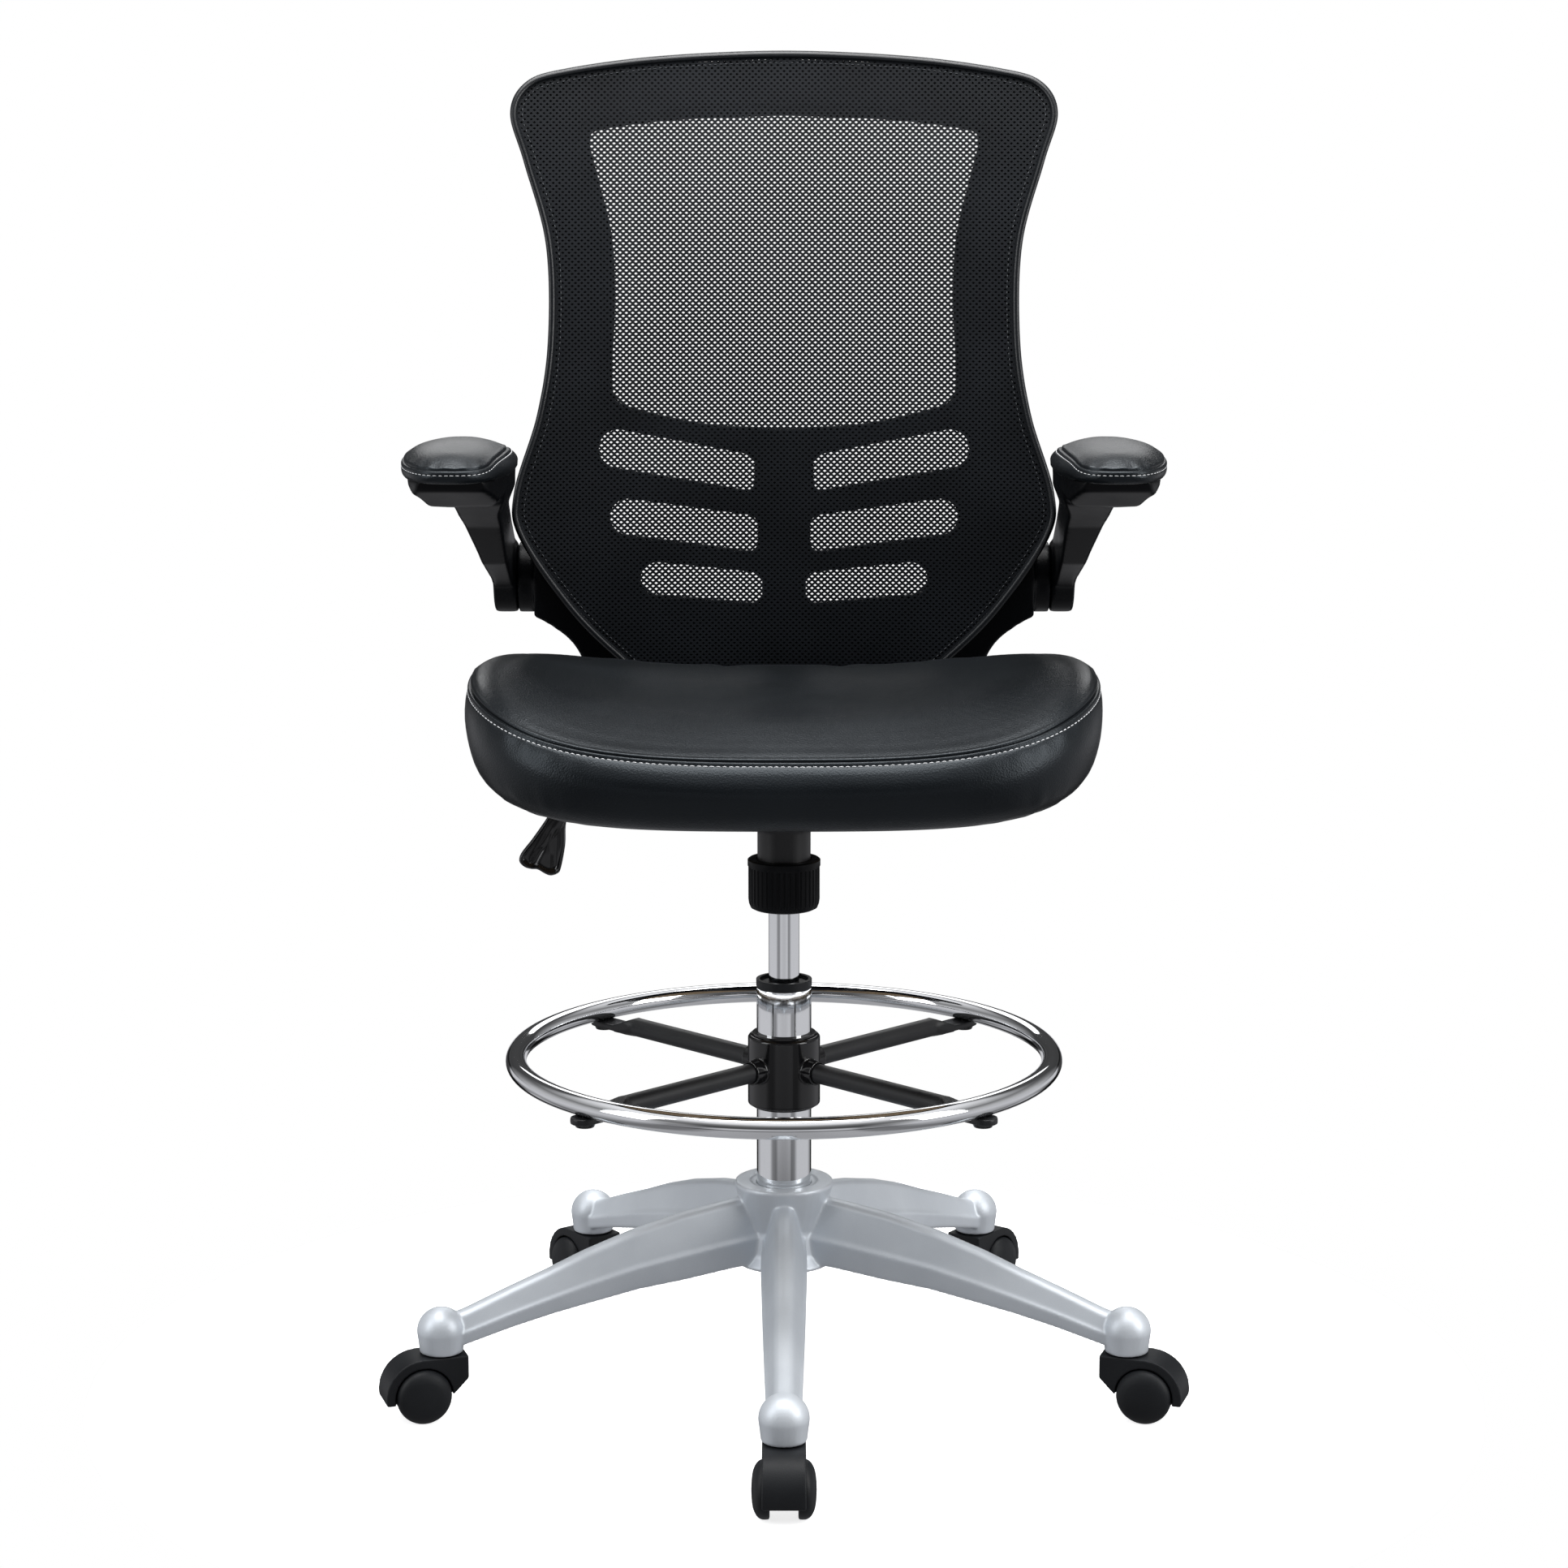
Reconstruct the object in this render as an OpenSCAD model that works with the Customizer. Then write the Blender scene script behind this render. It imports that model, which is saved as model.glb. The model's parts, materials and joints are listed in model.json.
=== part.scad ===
// Drafting chair: five-legged cast base on twin-wheel casters, tall gas lift with a clamped foot ring,
// tilting seat with a mesh back, and two flip-up arms.
// Frame: +Z up, floor at z = 0, lift column on the Z axis, the sitter faces -Y. Units are millimetres.

/* [Base] */
// Distance from the column axis to each caster stem
stem_circle_r = 324; // [290:1:340]
// Outer radius of the hub's top rim
hub_rim_r = 45.5; // [42:0.5:50]
// Height of the hub's top rim
hub_top_z = 191; // [186:1:196]
// Height of the hub's underside
hub_bottom_z = 114; // [112:1:118]
// Radius of the ball at each leg's end
ball_r = 21.8; // [20:0.2:24]
// Height of the ball's centre
ball_z = 79.7; // [78:0.1:82]
// Height of the ball's flat underside
ball_bottom_z = 60.5; // [60:0.1:62]

/* [Casters] */
// Wheel radius
wheel_r = 25; // [24:0.5:25]
// Width of one wheel
wheel_w = 15.5; // [14:0.5:17]
// Clear gap between a caster's two wheels
wheel_gap = 24; // [23.6:0.1:26]
// Distance from stem axis to wheel axle
caster_trail = 20; // [18:0.5:22]
// Width of the hood over the wheels
hood_w = 37; // [34:0.5:42]
// Outer radius of the hood about the axle
hood_r = 34.5; // [32:0.5:34.5]
// Stem radius
stem_r = 5.5; // [5:0.1:5.5]
// Axle radius
axle_r = 3; // [2.5:0.1:3.5]

/* [Lift] */
// Outer radius of the column tube
column_r = 25; // [24:0.5:26]
// Top of the chrome column tube
column_top_z = 373; // [360:1:378]
// Radius of the gas cylinder
cylinder_r = 14; // [13.5:0.1:14.5]
// Lower end of the gas cylinder at rest
cylinder_bottom_z = 232; // [228:1:236]
// Upper end of the gas cylinder
cylinder_top_z = 540; // [538:1:541]

/* [Foot ring] */
// Centre-line radius of the ring
ring_r = 244.5; // [220:0.5:250]
// Radius of the ring's tube
ring_tube_r = 9.5; // [8:0.5:11]
// Height of the ring's centre line
ring_z = 308.5; // [304:0.5:312]
// Radius of the spokes
spoke_r = 9; // [7:0.5:9.5]
// Outer radius of the ring's hub
ring_hub_r = 33; // [32:0.5:36]

/* [Tilt mechanism] */
// Distance of the tilt pivot in front of the column axis
tilt_pivot_y = -40; // [-42:1:-38]
// Height of the tilt pivot
tilt_pivot_z = 552; // [551:1:553]
// Distance of the tension knob's axis in front of the column axis
knob_y = -90; // [-92:1:-88]
// Radius of the tension knob
knob_r = 31.5; // [28:0.5:33]
// Height of the lever rod
lever_z = 551; // [551:0.5:552]

/* [Seat] */
// Overall seat width
seat_w = 562; // [500:1:580]
// Overall seat depth
seat_d = 456; // [430:1:456]
// Centre of the seat's outline, front to back
seat_y = -20; // [-24:1:-20]
// Lower edge of the cushion's side
seat_bottom_z = 563; // [563:1:564]
// Height of the cushion's top at its centre
seat_top_z = 643; // [635:1:650]
// Height that the cushion's side bolsters stand above its centre
bolster_rise = 42; // [20:1:44]

/* [Back] */
// Height of the back's top edge
back_top_z = 1215; // [1212:1:1220]
// Depth of the back's front surface at its most forward height
back_y = 213; // [213:1:216]
// Height where the back bulges furthest forward
lumbar_z = 790; // [780:1:800]
// Radius of the back's vertical bulge
lumbar_r = 1250; // [1200:10:1400]
// Radius of the back's hollow from side to side
wrap_r = 1040; // [1000:10:1100]
// Thickness of the mesh
mesh_t = 2.5; // [2:0.1:3]
// Thickness of the back shell
shell_t = 11; // [9:0.5:11]
// Width of the trim round the mesh
trim_w = 8; // [6:0.5:10]

/* [Arms] */
// Distance of the arm pivot behind the column axis
arm_pivot_y = 240; // [240:1:242]
// Height of the arm pivot
arm_pivot_z = 719; // [717:1:721]
// Radius of the arm's pivot drum
drum_r = 33.5; // [30:0.5:34]
// Inner face of the turning arm drum
drum_x = 254; // [254:0.5:256]
// Overall length of an arm pad
pad_l = 262; // [240:1:266]
// Overall width of an arm pad
pad_w = 100; // [90:1:100]
// Top of the arm pad
pad_top_z = 874; // [868:1:878]

/* [Display] */
// Node to show, or all

/* [Hidden] */
$fn = 96;
leg_count = 5;
first_leg_angle = -90;
run_gap = 0.06;
snug = 0.03;
silver = [0.71, 0.73, 0.76];
chrome_grey = [0.82, 0.83, 0.85];
plastic_black = [0.06, 0.06, 0.07];
gloss_black = [0.03, 0.03, 0.035];
steel_black = [0.08, 0.08, 0.09];
leather_black = [0.09, 0.1, 0.11];
mesh_black = [0.05, 0.05, 0.055];
steel_grey = [0.6, 0.61, 0.63];
ply_tan = [0.62, 0.48, 0.32];

column_bottom_z = 108;
column_wall = 1.8;
column_floor_t = 3;
rod_r = 5;
cylinder_wall = 2.5;
valve_r = 3;
socket_depth = 36;
plate_z = 571;
plate_t = 3;
pan_z = plate_z + plate_t;
pan_t = 12;
pan_share = 0.84;
housing_w = 96;
housing_t = 2.5;
tube_r = 23.6;
tube_bottom_z = 500;
spring_top_z = 563;
nut_z = 512;
nut_t = 8;
screw_r = 5;
pin_r = 6;
drum_w = 23;
bolt_r = 3;
bolt_head_r = 6;
arm_bolt_r = 8;

// One point of a Catmull-Rom curve through p1 and p2
function curve_point(p0, p1, p2, p3, t) =
  0.5 * (2 * p1 + (p2 - p0) * t + (2 * p0 - 5 * p1 + 4 * p2 - p3) * t * t
  + (3 * p1 - p0 - 3 * p2 + p3) * t * t * t);

// Smooth open curve through a list of points, with steps pieces between neighbours
function smooth(p, steps) = [
  for (i = [0 : len(p) - 2])
    for (k = [0 : steps - 1])
      curve_point(p[max(i - 1, 0)], p[i], p[i + 1], p[min(i + 2, len(p) - 1)], k / steps),
  p[len(p) - 1]
];

// Closed outline, symmetrical about x = 0, from its right half listed top to bottom
function both_sides(half) = concat(
  half,
  [for (i = [len(half) - 2 : -1 : 1]) [-half[i][0], half[i][1]]]
);

// Closed solid through rings of points that all have the same count
module skin(rings) {
  n = len(rings[0]);
  last = len(rings) - 1;
  points = [for (r = rings) for (p = r) p];
  sides = [
    for (k = [0 : last - 1])
      for (i = [0 : n - 1])
        [k * n + i, k * n + (i + 1) % n, (k + 1) * n + (i + 1) % n, (k + 1) * n + i]
  ];
  floor_face = [[for (i = [n - 1 : -1 : 0]) i]];
  roof_face = [[for (i = [0 : n - 1]) last * n + i]];
  polyhedron(points, concat(sides, floor_face, roof_face), convexity = 6);
}

// Extrudes a front-view outline (x, z) from y = from to y = to
module front_prism(from, to) {
  translate([0, to, 0])
    rotate([90, 0, 0])
      linear_extrude(to - from)
        children();
}

// Extrudes a side-view outline (y, z) from x = from to x = to
module side_prism(from, to) {
  translate([from, 0, 0])
    rotate([90, 0, 90])
      linear_extrude(to - from)
        children();
}

module at_leg(i) {
  rotate([0, 0, first_leg_angle + i * 360 / leg_count])
    children();
}

// ---------------------------------------------------------------- base

leg_stations = [
  // radius, crest height, underside height, half width
  [30, 179, 118, 18.5],
  [60, 175, 115.5, 21],
  [100, 168, 110, 21],
  [145, 156.5, 105, 20],
  [190, 141.5, 96.5, 19],
  [225, 127.5, 89.5, 18],
  [264, 113, 80, 16.8],
  [301, 98.5, 69.5, 15.6],
  [318, 93, 65, 15]
];

function leg_ring(s) = let (r = s[0], top = s[1], low = s[2], w = s[3], h = top - low)
  let (half = [
    [0, top],
    [5, top - 0.8],
    [8.5, top - 3.5],
    [w * 0.86, low + h * 0.46],
    [w, low + h * 0.40],
    [w * 0.93, low + 2],
    [w * 0.85, low]
  ])
  concat(
    [for (p = half) [r, p[0], p[1]]],
    [for (i = [len(half) - 1 : -1 : 1]) [r, -half[i][0], half[i][1]]]
  );

module leg() {
  skin([for (s = leg_stations) leg_ring(s)]);
}

// Hollow under a leg, open below
module leg_hollow() {
  wall = 4;
  skin([
    for (i = [1 : len(leg_stations) - 3])
      let (s = leg_stations[i], low = s[2] - 2, top = s[1] - wall - 1, w = s[3] - wall - 1)
        [
          [s[0], 4, top],
          [s[0], w, low + (top - low) * 0.45],
          [s[0], w - 1, low],
          [s[0], 1 - w, low],
          [s[0], -w, low + (top - low) * 0.45],
          [s[0], -4, top]
        ]
  ]);
}

module ball_end() {
  intersection() {
    sphere(r = ball_r);
    translate([-ball_r, -ball_r, 0])
      cube([2 * ball_r, 2 * ball_r, ball_r]);
  }
  translate([0, 0, ball_bottom_z - ball_z])
    cylinder(h = ball_z - ball_bottom_z, r1 = ball_r - 2.4, r2 = ball_r);
}

module hub() {
  rotate_extrude()
    polygon([
      [0, hub_bottom_z],
      [hub_rim_r - 1.5, hub_bottom_z],
      [hub_rim_r - 0.5, hub_bottom_z + 2],
      [38, hub_bottom_z + 12],
      [35, 148],
      [hub_rim_r, hub_top_z - 2.5],
      [hub_rim_r - 1.2, hub_top_z],
      [31, hub_top_z],
      [30, hub_top_z - 2],
      [0, hub_top_z - 2]
    ]);
}

module star_base() {
  color(silver)
    difference() {
      union() {
        hub();
        for (i = [0 : leg_count - 1])
          at_leg(i) {
            leg();
            translate([stem_circle_r, 0, ball_z])
              ball_end();
          }
      }
      translate([0, 0, hub_bottom_z - 1])
        cylinder(h = hub_top_z - hub_bottom_z + 2, r = column_r + snug);
      for (i = [0 : leg_count - 1])
        at_leg(i) {
          leg_hollow();
          translate([stem_circle_r, 0, ball_bottom_z - 1])
            cylinder(h = socket_depth + 1, r = stem_r + run_gap);
        }
    }
}

module column_tube() {
  color(chrome_grey)
    difference() {
      translate([0, 0, column_bottom_z])
        cylinder(h = column_top_z - column_bottom_z, r = column_r);
      translate([0, 0, column_bottom_z + column_floor_t])
        cylinder(h = column_top_z, r = column_r - column_wall);
      translate([0, 0, column_bottom_z - 1])
        cylinder(h = column_floor_t + 2, r = rod_r + run_gap);
    }
}

module guide_bush() {
  bush_l = 84;
  collar_h = 8;
  color(plastic_black)
    difference() {
      union() {
        translate([0, 0, column_top_z - bush_l])
          cylinder(h = bush_l, r = column_r - column_wall - snug);
        translate([0, 0, column_top_z])
          cylinder(h = collar_h, r = column_r + 0.4);
      }
      translate([0, 0, column_top_z - bush_l - 1])
        cylinder(h = bush_l + collar_h + 2, r = cylinder_r + run_gap);
      translate([0, 0, column_top_z + collar_h - 3])
        cylinder(h = 4, r = column_r - 3);
    }
}

module thrust_bearing() {
  floor_z = column_bottom_z + column_floor_t;
  color(steel_grey) {
    difference() {
      translate([0, 0, floor_z])
        cylinder(h = 6, r = 18);
      translate([0, 0, floor_z - 1])
        cylinder(h = 8, r = rod_r + run_gap);
      translate([0, 0, floor_z + 2])
        difference() {
          cylinder(h = 2, r = 19);
          cylinder(h = 2, r = 14);
        }
    }
  }
}

// ---------------------------------------------------------------- casters

hood_lip_z = 19;

module hood_side() {
  difference() {
    union() {
      translate([caster_trail, wheel_r])
        circle(r = hood_r);
      translate([-21, wheel_r])
        square([21 + caster_trail, hood_r]);
    }
    polygon([
      [-60, -20],
      [80, -20],
      [80, hood_lip_z],
      [2, hood_lip_z],
      [-8, 26],
      [-21, 39],
      [-60, 39]
    ]);
  }
}

module hood() {
  well_w = 20;
  web_w = wheel_gap - 0.6;
  difference() {
    translate([0, hood_w / 2, 0])
      rotate([90, 0, 0])
        linear_extrude(hood_w)
          hood_side();
    for (side = [-1, 1])
      translate([caster_trail, side * (web_w + well_w) / 2, wheel_r])
        rotate([90, 0, 0])
          cylinder(h = well_w, r = wheel_r + 1.2, center = true);
    translate([0, 0, 40])
      cylinder(h = 30, r = stem_r);
    translate([caster_trail, 0, wheel_r])
      rotate([90, 0, 0])
        cylinder(h = wheel_gap * 2, r = axle_r, center = true);
  }
}

module caster_hood(i) {
  color(plastic_black)
    at_leg(i)
      translate([stem_circle_r, 0, 0])
        hood();
}

module caster_pins(i) {
  hood_top_z = wheel_r + hood_r;
  axle_l = wheel_gap + 22;
  color(steel_grey)
    at_leg(i)
      translate([stem_circle_r, 0, 0]) {
        translate([0, 0, 40])
          cylinder(h = ball_bottom_z + socket_depth - 42, r = stem_r);
        translate([0, 0, hood_top_z])
          cylinder(h = 0.8, r = 8);
        translate([caster_trail, 0, wheel_r])
          rotate([90, 0, 0])
            cylinder(h = axle_l, r = axle_r, center = true);
      }
}

module wheel() {
  difference() {
    rotate_extrude()
      polygon([
        [0, 0],
        [wheel_r - 1, 0],
        [wheel_r, 1],
        [wheel_r, wheel_w - 9.5],
        [wheel_r - 0.6, wheel_w - 7.6],
        [wheel_r - 1.8, wheel_w - 5.8],
        [wheel_r - 3.6, wheel_w - 4.2],
        [wheel_r - 6, wheel_w - 2.8],
        [wheel_r - 9, wheel_w - 1.6],
        [12, wheel_w - 0.8],
        [6, wheel_w - 0.2],
        [0, wheel_w]
      ]);
    translate([0, 0, -1])
      cylinder(h = 13, r = axle_r + run_gap);
  }
}

module caster_wheel(i, side) {
  color(plastic_black)
    at_leg(i)
      translate([stem_circle_r + caster_trail, side * wheel_gap / 2, wheel_r])
        rotate([-90 * side, 0, 0])
          wheel();
}

// ---------------------------------------------------------------- foot ring

collet_r = 29;
collet_bottom_z = 262;
collet_top_z = 331;
ring_hub_bottom_z = 264;
ring_hub_top_z = 329;
spoke_z = 299.5;
spoke_tip_t = 6;

module ring_collet() {
  slit_w = 3;
  color(gloss_black)
    difference() {
      translate([0, 0, collet_bottom_z])
        cylinder(h = collet_top_z - collet_bottom_z, r = collet_r);
      translate([0, 0, collet_bottom_z - 1])
        cylinder(h = collet_top_z, r = column_r + run_gap);
      translate([-slit_w / 2, 0, collet_bottom_z - 1])
        cube([slit_w, 2 * collet_r, collet_top_z]);
    }
}

module at_spoke(i) {
  rotate([0, 0, 45 + 90 * i])
    children();
}

module ring_hub() {
  color(gloss_black)
    difference() {
      union() {
        rotate_extrude()
          polygon([
            [0, ring_hub_bottom_z],
            [ring_hub_r - 1, ring_hub_bottom_z],
            [ring_hub_r, ring_hub_bottom_z + 1],
            [ring_hub_r, ring_hub_top_z - 2],
            [ring_hub_r - 2, ring_hub_top_z],
            [0, ring_hub_top_z]
          ]);
        for (i = [0 : 3])
          at_spoke(i)
            translate([collet_r + 1, 0, spoke_z])
              rotate([0, 90, 0])
                cylinder(h = 14, r = spoke_r + 2.2);
      }
      translate([0, 0, ring_hub_bottom_z - 1])
        cylinder(h = ring_hub_top_z, r = collet_r + run_gap);
      for (i = [0 : 3])
        at_spoke(i)
          translate([collet_r + 2, 0, spoke_z])
            rotate([0, 90, 0])
              cylinder(h = 20, r = spoke_r);
    }
}

// Round tube whose outer end is pressed flat under the ring
module spoke() {
  start_r = collet_r + 2;
  press_r = 197;
  flat_r = 222;
  tip_r = 247;
  tip_w = 11;
  tip_top_z = ring_z - ring_tube_r;
  tip_bottom_z = tip_top_z - spoke_tip_t;
  open_r = spoke_r + 0.4;
  flat_corner_r = norm([tip_w, spoke_z - tip_bottom_z]) + 0.2;
  difference() {
    union() {
      translate([start_r, 0, spoke_z])
        rotate([0, 90, 0])
          cylinder(h = press_r - start_r, r = spoke_r);
      intersection() {
        translate([press_r, 0, spoke_z])
          rotate([0, 90, 0])
            cylinder(h = flat_r - press_r, r1 = spoke_r, r2 = flat_corner_r);
        front_prism(-tip_w - 2, tip_w + 2)
          polygon([
            [press_r, spoke_z - open_r],
            [flat_r, tip_bottom_z],
            [flat_r, tip_top_z],
            [press_r, spoke_z + open_r]
          ]);
        translate([0, 0, spoke_z - 20])
          linear_extrude(40)
            polygon([
              [press_r, -open_r],
              [flat_r, -tip_w],
              [flat_r, tip_w],
              [press_r, open_r]
            ]);
      }
      translate([flat_r, -tip_w, tip_bottom_z])
        cube([tip_r - flat_r, 2 * tip_w, spoke_tip_t]);
      translate([tip_r, 0, tip_bottom_z])
        cylinder(h = spoke_tip_t, r = tip_w);
    }
    translate([ring_r, 0, tip_bottom_z - 1])
      cylinder(h = spoke_tip_t + 2, r = bolt_r);
  }
}

module ring_spokes() {
  color(steel_black)
    for (i = [0 : 3])
      at_spoke(i)
        spoke();
}

module foot_ring() {
  wall = 1.2;
  color(chrome_grey)
    translate([0, 0, ring_z])
      difference() {
        rotate_extrude()
          translate([ring_r, 0])
            difference() {
              circle(r = ring_tube_r);
              circle(r = ring_tube_r - wall);
            }
        for (i = [0 : 3])
          at_spoke(i)
            translate([ring_r, 0, -ring_tube_r - 1])
              cylinder(h = 6, r = bolt_r);
      }
}

module ring_screws() {
  head_h = 3;
  under_z = ring_z - ring_tube_r - spoke_tip_t;
  color(gloss_black)
    for (i = [0 : 3])
      at_spoke(i)
        translate([ring_r, 0, under_z]) {
          translate([0, 0, -head_h])
            cylinder(h = head_h, r1 = 8, r2 = 9.5);
          cylinder(h = spoke_tip_t + 7, r = bolt_r);
        }
}

// ---------------------------------------------------------------- gas lift

piston_z = 355;
shoulder_z = column_bottom_z + column_floor_t + 6;
clip_z = 106.2;
clip_groove_r = 4.2;

module piston_rod() {
  color(steel_grey)
    difference() {
      union() {
        translate([0, 0, 104])
          cylinder(h = piston_z - 104, r = rod_r);
        translate([0, 0, shoulder_z])
          cylinder(h = 4, r = 9);
        translate([0, 0, piston_z])
          cylinder(h = 15, r = cylinder_r - cylinder_wall - run_gap);
      }
      translate([0, 0, clip_z])
        difference() {
          cylinder(h = 1.5, r = rod_r + 1);
          cylinder(h = 1.5, r = clip_groove_r);
        }
    }
}

module retaining_clip() {
  color(steel_grey)
    translate([0, 0, clip_z + 0.1])
      difference() {
        cylinder(h = 1.3, r = 9);
        translate([0, 0, -1])
          cylinder(h = 4, r = clip_groove_r);
        translate([0, -clip_groove_r * 0.8, -1])
          cube([20, clip_groove_r * 1.6, 4]);
      }
}

taper_z = 514;
taper_top_r = 13.3;

module taper_solid(extra) {
  translate([0, 0, taper_z])
    cylinder(h = cylinder_top_z - taper_z, r1 = cylinder_r + extra, r2 = taper_top_r + extra);
}

module gas_cylinder() {
  head_t = 22;
  color(chrome_grey)
    difference() {
      union() {
        translate([0, 0, cylinder_bottom_z])
          cylinder(h = taper_z - cylinder_bottom_z, r = cylinder_r);
        taper_solid(0);
      }
      translate([0, 0, cylinder_bottom_z - 1])
        cylinder(h = cylinder_top_z - head_t - cylinder_bottom_z, r = cylinder_r - cylinder_wall);
      translate([0, 0, cylinder_top_z - head_t - 2])
        cylinder(h = head_t + 4, r = valve_r + run_gap);
    }
}

module cylinder_gland() {
  color(plastic_black)
    translate([0, 0, cylinder_bottom_z])
      difference() {
        cylinder(h = 14, r = cylinder_r - cylinder_wall);
        translate([0, 0, -1])
          cylinder(h = 16, r = rod_r + run_gap);
      }
}

module valve_button() {
  head_z = cylinder_top_z + 3.5;
  color(steel_grey) {
    translate([0, 0, cylinder_top_z - 15])
      cylinder(h = head_z + 15 - cylinder_top_z, r = valve_r);
    translate([0, 0, head_z])
      cylinder(h = lever_z - 4.1 - head_z, r = 9);
  }
}

// ---------------------------------------------------------------- tilt mechanism

// Hole in the housing's side that the lever's bush slides in
lever_hole_r = 7.3;

housing_side = [
  // y, z round the pressed housing seen from the side
  [-125, plate_z - 0.1],
  [-125, 545],
  [-108, 539],
  [-60, 536],
  [-22, 522],
  [24, 520],
  [70, 522],
  [92, 530],
  [92, 540.5],
  [0, 560.5],
  [-35, plate_z - 3],
  [-50, plate_z - 0.1]
];

module tilt_housing() {
  inner_w = housing_w - 2 * housing_t;
  socket_r = 20;
  color(steel_black)
    difference() {
      union() {
        difference() {
          side_prism(-housing_w / 2, housing_w / 2)
            polygon(housing_side);
          side_prism(-inner_w / 2, inner_w / 2)
            polygon([
              [-125 + housing_t, plate_z + 5],
              [-125 + housing_t, 547.5],
              [-107.5, 541.5],
              [-59, 538.5],
              [-21.5, 524.5],
              [24, 522.5],
              [69.5, 524.5],
              [92 - housing_t, 532],
              [92 - housing_t, plate_z + 5]
            ]);
        }
        translate([0, 0, taper_z])
          cylinder(h = cylinder_top_z - 0.5 - taper_z, r = socket_r);
        translate([0, knob_y, tube_bottom_z])
          cylinder(h = spring_top_z + 3 - tube_bottom_z, r = tube_r);
      }
      translate([0, 0, -0.01])
        taper_solid(0);
      translate([0, knob_y, tube_bottom_z - 1])
        cylinder(h = spring_top_z - tube_bottom_z + 1, r = tube_r - 2);
      translate([0, tilt_pivot_y, tilt_pivot_z])
        rotate([0, 90, 0])
          cylinder(h = housing_w + 10, r = pin_r, center = true);
      translate([-housing_w / 2 - 5, 0, lever_z])
        rotate([0, 90, 0])
          cylinder(h = 10, r = lever_hole_r);
    }
}

module tilt_pin() {
  pin_l = housing_w + 12;
  color(steel_grey)
    translate([0, tilt_pivot_y, tilt_pivot_z])
      rotate([0, 90, 0])
        difference() {
          cylinder(h = pin_l, r = pin_r, center = true);
          for (side = [-1, 1])
            translate([0, 0, side * pin_l / 2])
              cylinder(h = 2, r1 = pin_r - 2.5, r2 = pin_r - 2.5, center = true);
        }
}

knob_bottom_z = 466;
knob_top_z = 511;

module tension_knob() {
  ridge_count = 40;
  cup_z = tube_bottom_z - 1;
  color(plastic_black)
    translate([0, knob_y, 0])
      difference() {
        rotate_extrude()
          polygon([
            [0, knob_bottom_z],
            [knob_r - 5, knob_bottom_z],
            [knob_r - 2, knob_bottom_z + 1.5],
            [knob_r - 0.6, knob_bottom_z + 5],
            [knob_r, knob_bottom_z + 9],
            [knob_r, knob_top_z - 7],
            [knob_r + 0.6, knob_top_z - 6],
            [knob_r + 0.6, knob_top_z - 1],
            [knob_r - 0.6, knob_top_z],
            [0, knob_top_z]
          ]);
        for (k = [0 : ridge_count - 1])
          rotate([0, 0, k * 360 / ridge_count])
            translate([knob_r + 0.5, 0, knob_bottom_z + 5])
              cylinder(h = knob_top_z - knob_bottom_z - 12, r = 1.4, $fn = 24);
        translate([0, 0, cup_z])
          cylinder(h = 20, r = tube_r + 0.8);
        translate([0, 0, knob_bottom_z + 6])
          cylinder(h = 60, r = screw_r);
      }
}

module tension_screw() {
  color(steel_grey)
    translate([0, knob_y, knob_bottom_z + 6])
      cylinder(h = spring_top_z - 6 - knob_bottom_z - 6, r = screw_r);
}

module spring_nut() {
  color(steel_grey)
    translate([0, knob_y, nut_z])
      difference() {
        cylinder(h = nut_t, r = tube_r - 2 - 0.5);
        translate([0, 0, -1])
          cylinder(h = nut_t + 2, r = screw_r + run_gap);
      }
}

module tension_spring() {
  wire_r = 2.6;
  coil_r = 14.5;
  turns = 6;
  steps = 24;
  low = nut_z + nut_t + wire_r;
  high = spring_top_z - wire_r;
  rings = [
    for (k = [0 : turns * steps])
      let (a = 360 * k / steps, z = low + (high - low) * k / (turns * steps))
        [for (j = [0 : 7])
          let (b = -45 * j, r = coil_r + wire_r * cos(b))
            [r * cos(a), r * sin(a), z + wire_r * sin(b)]]
  ];
  color(steel_grey)
    translate([0, knob_y, 0])
      skin(rings);
}

lever_pivot_x = -40;
lever_bend_x = -70;
lever_end = [-200, 531];
lever_rod_r = 4;

module lever_block() {
  block_w = 12;
  color(plastic_black)
    difference() {
      translate([lever_pivot_x, 0, lever_z])
        rotate([0, 90, 0])
          cylinder(h = block_w, r = lever_hole_r - run_gap, center = true);
      translate([lever_pivot_x, 0, lever_z])
        rotate([0, 90, 0])
          cylinder(h = block_w + 2, r = lever_rod_r + 0.9, center = true);
    }
}

// Round rod between two points of the plane y = 0
module rod_between(a, b, r) {
  d = b - a;
  translate([a[0], 0, a[1]])
    rotate([0, atan2(d[0], d[1]), 0])
      cylinder(h = norm(d), r = r);
}

module lever_rod() {
  inner_x = 4;
  color(steel_black) {
    rod_between([inner_x, lever_z], [lever_bend_x, lever_z], lever_rod_r);
    rod_between([lever_bend_x, lever_z], lever_end, lever_rod_r);
    translate([lever_bend_x, 0, lever_z])
      sphere(r = lever_rod_r + 0.4);
  }
}

paddle_front = [
  // x, z round the paddle seen from the front
  [-191, 541],
  [-207, 541],
  [-216, 527],
  [-228, 510],
  [-238, 497],
  [-239.5, 490],
  [-235, 485],
  [-229, 483],
  [-223, 482.5],
  [-216, 478.5],
  [-211, 477],
  [-205, 479],
  [-202, 484],
  [-198, 505],
  [-197, 525]
];

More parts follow.
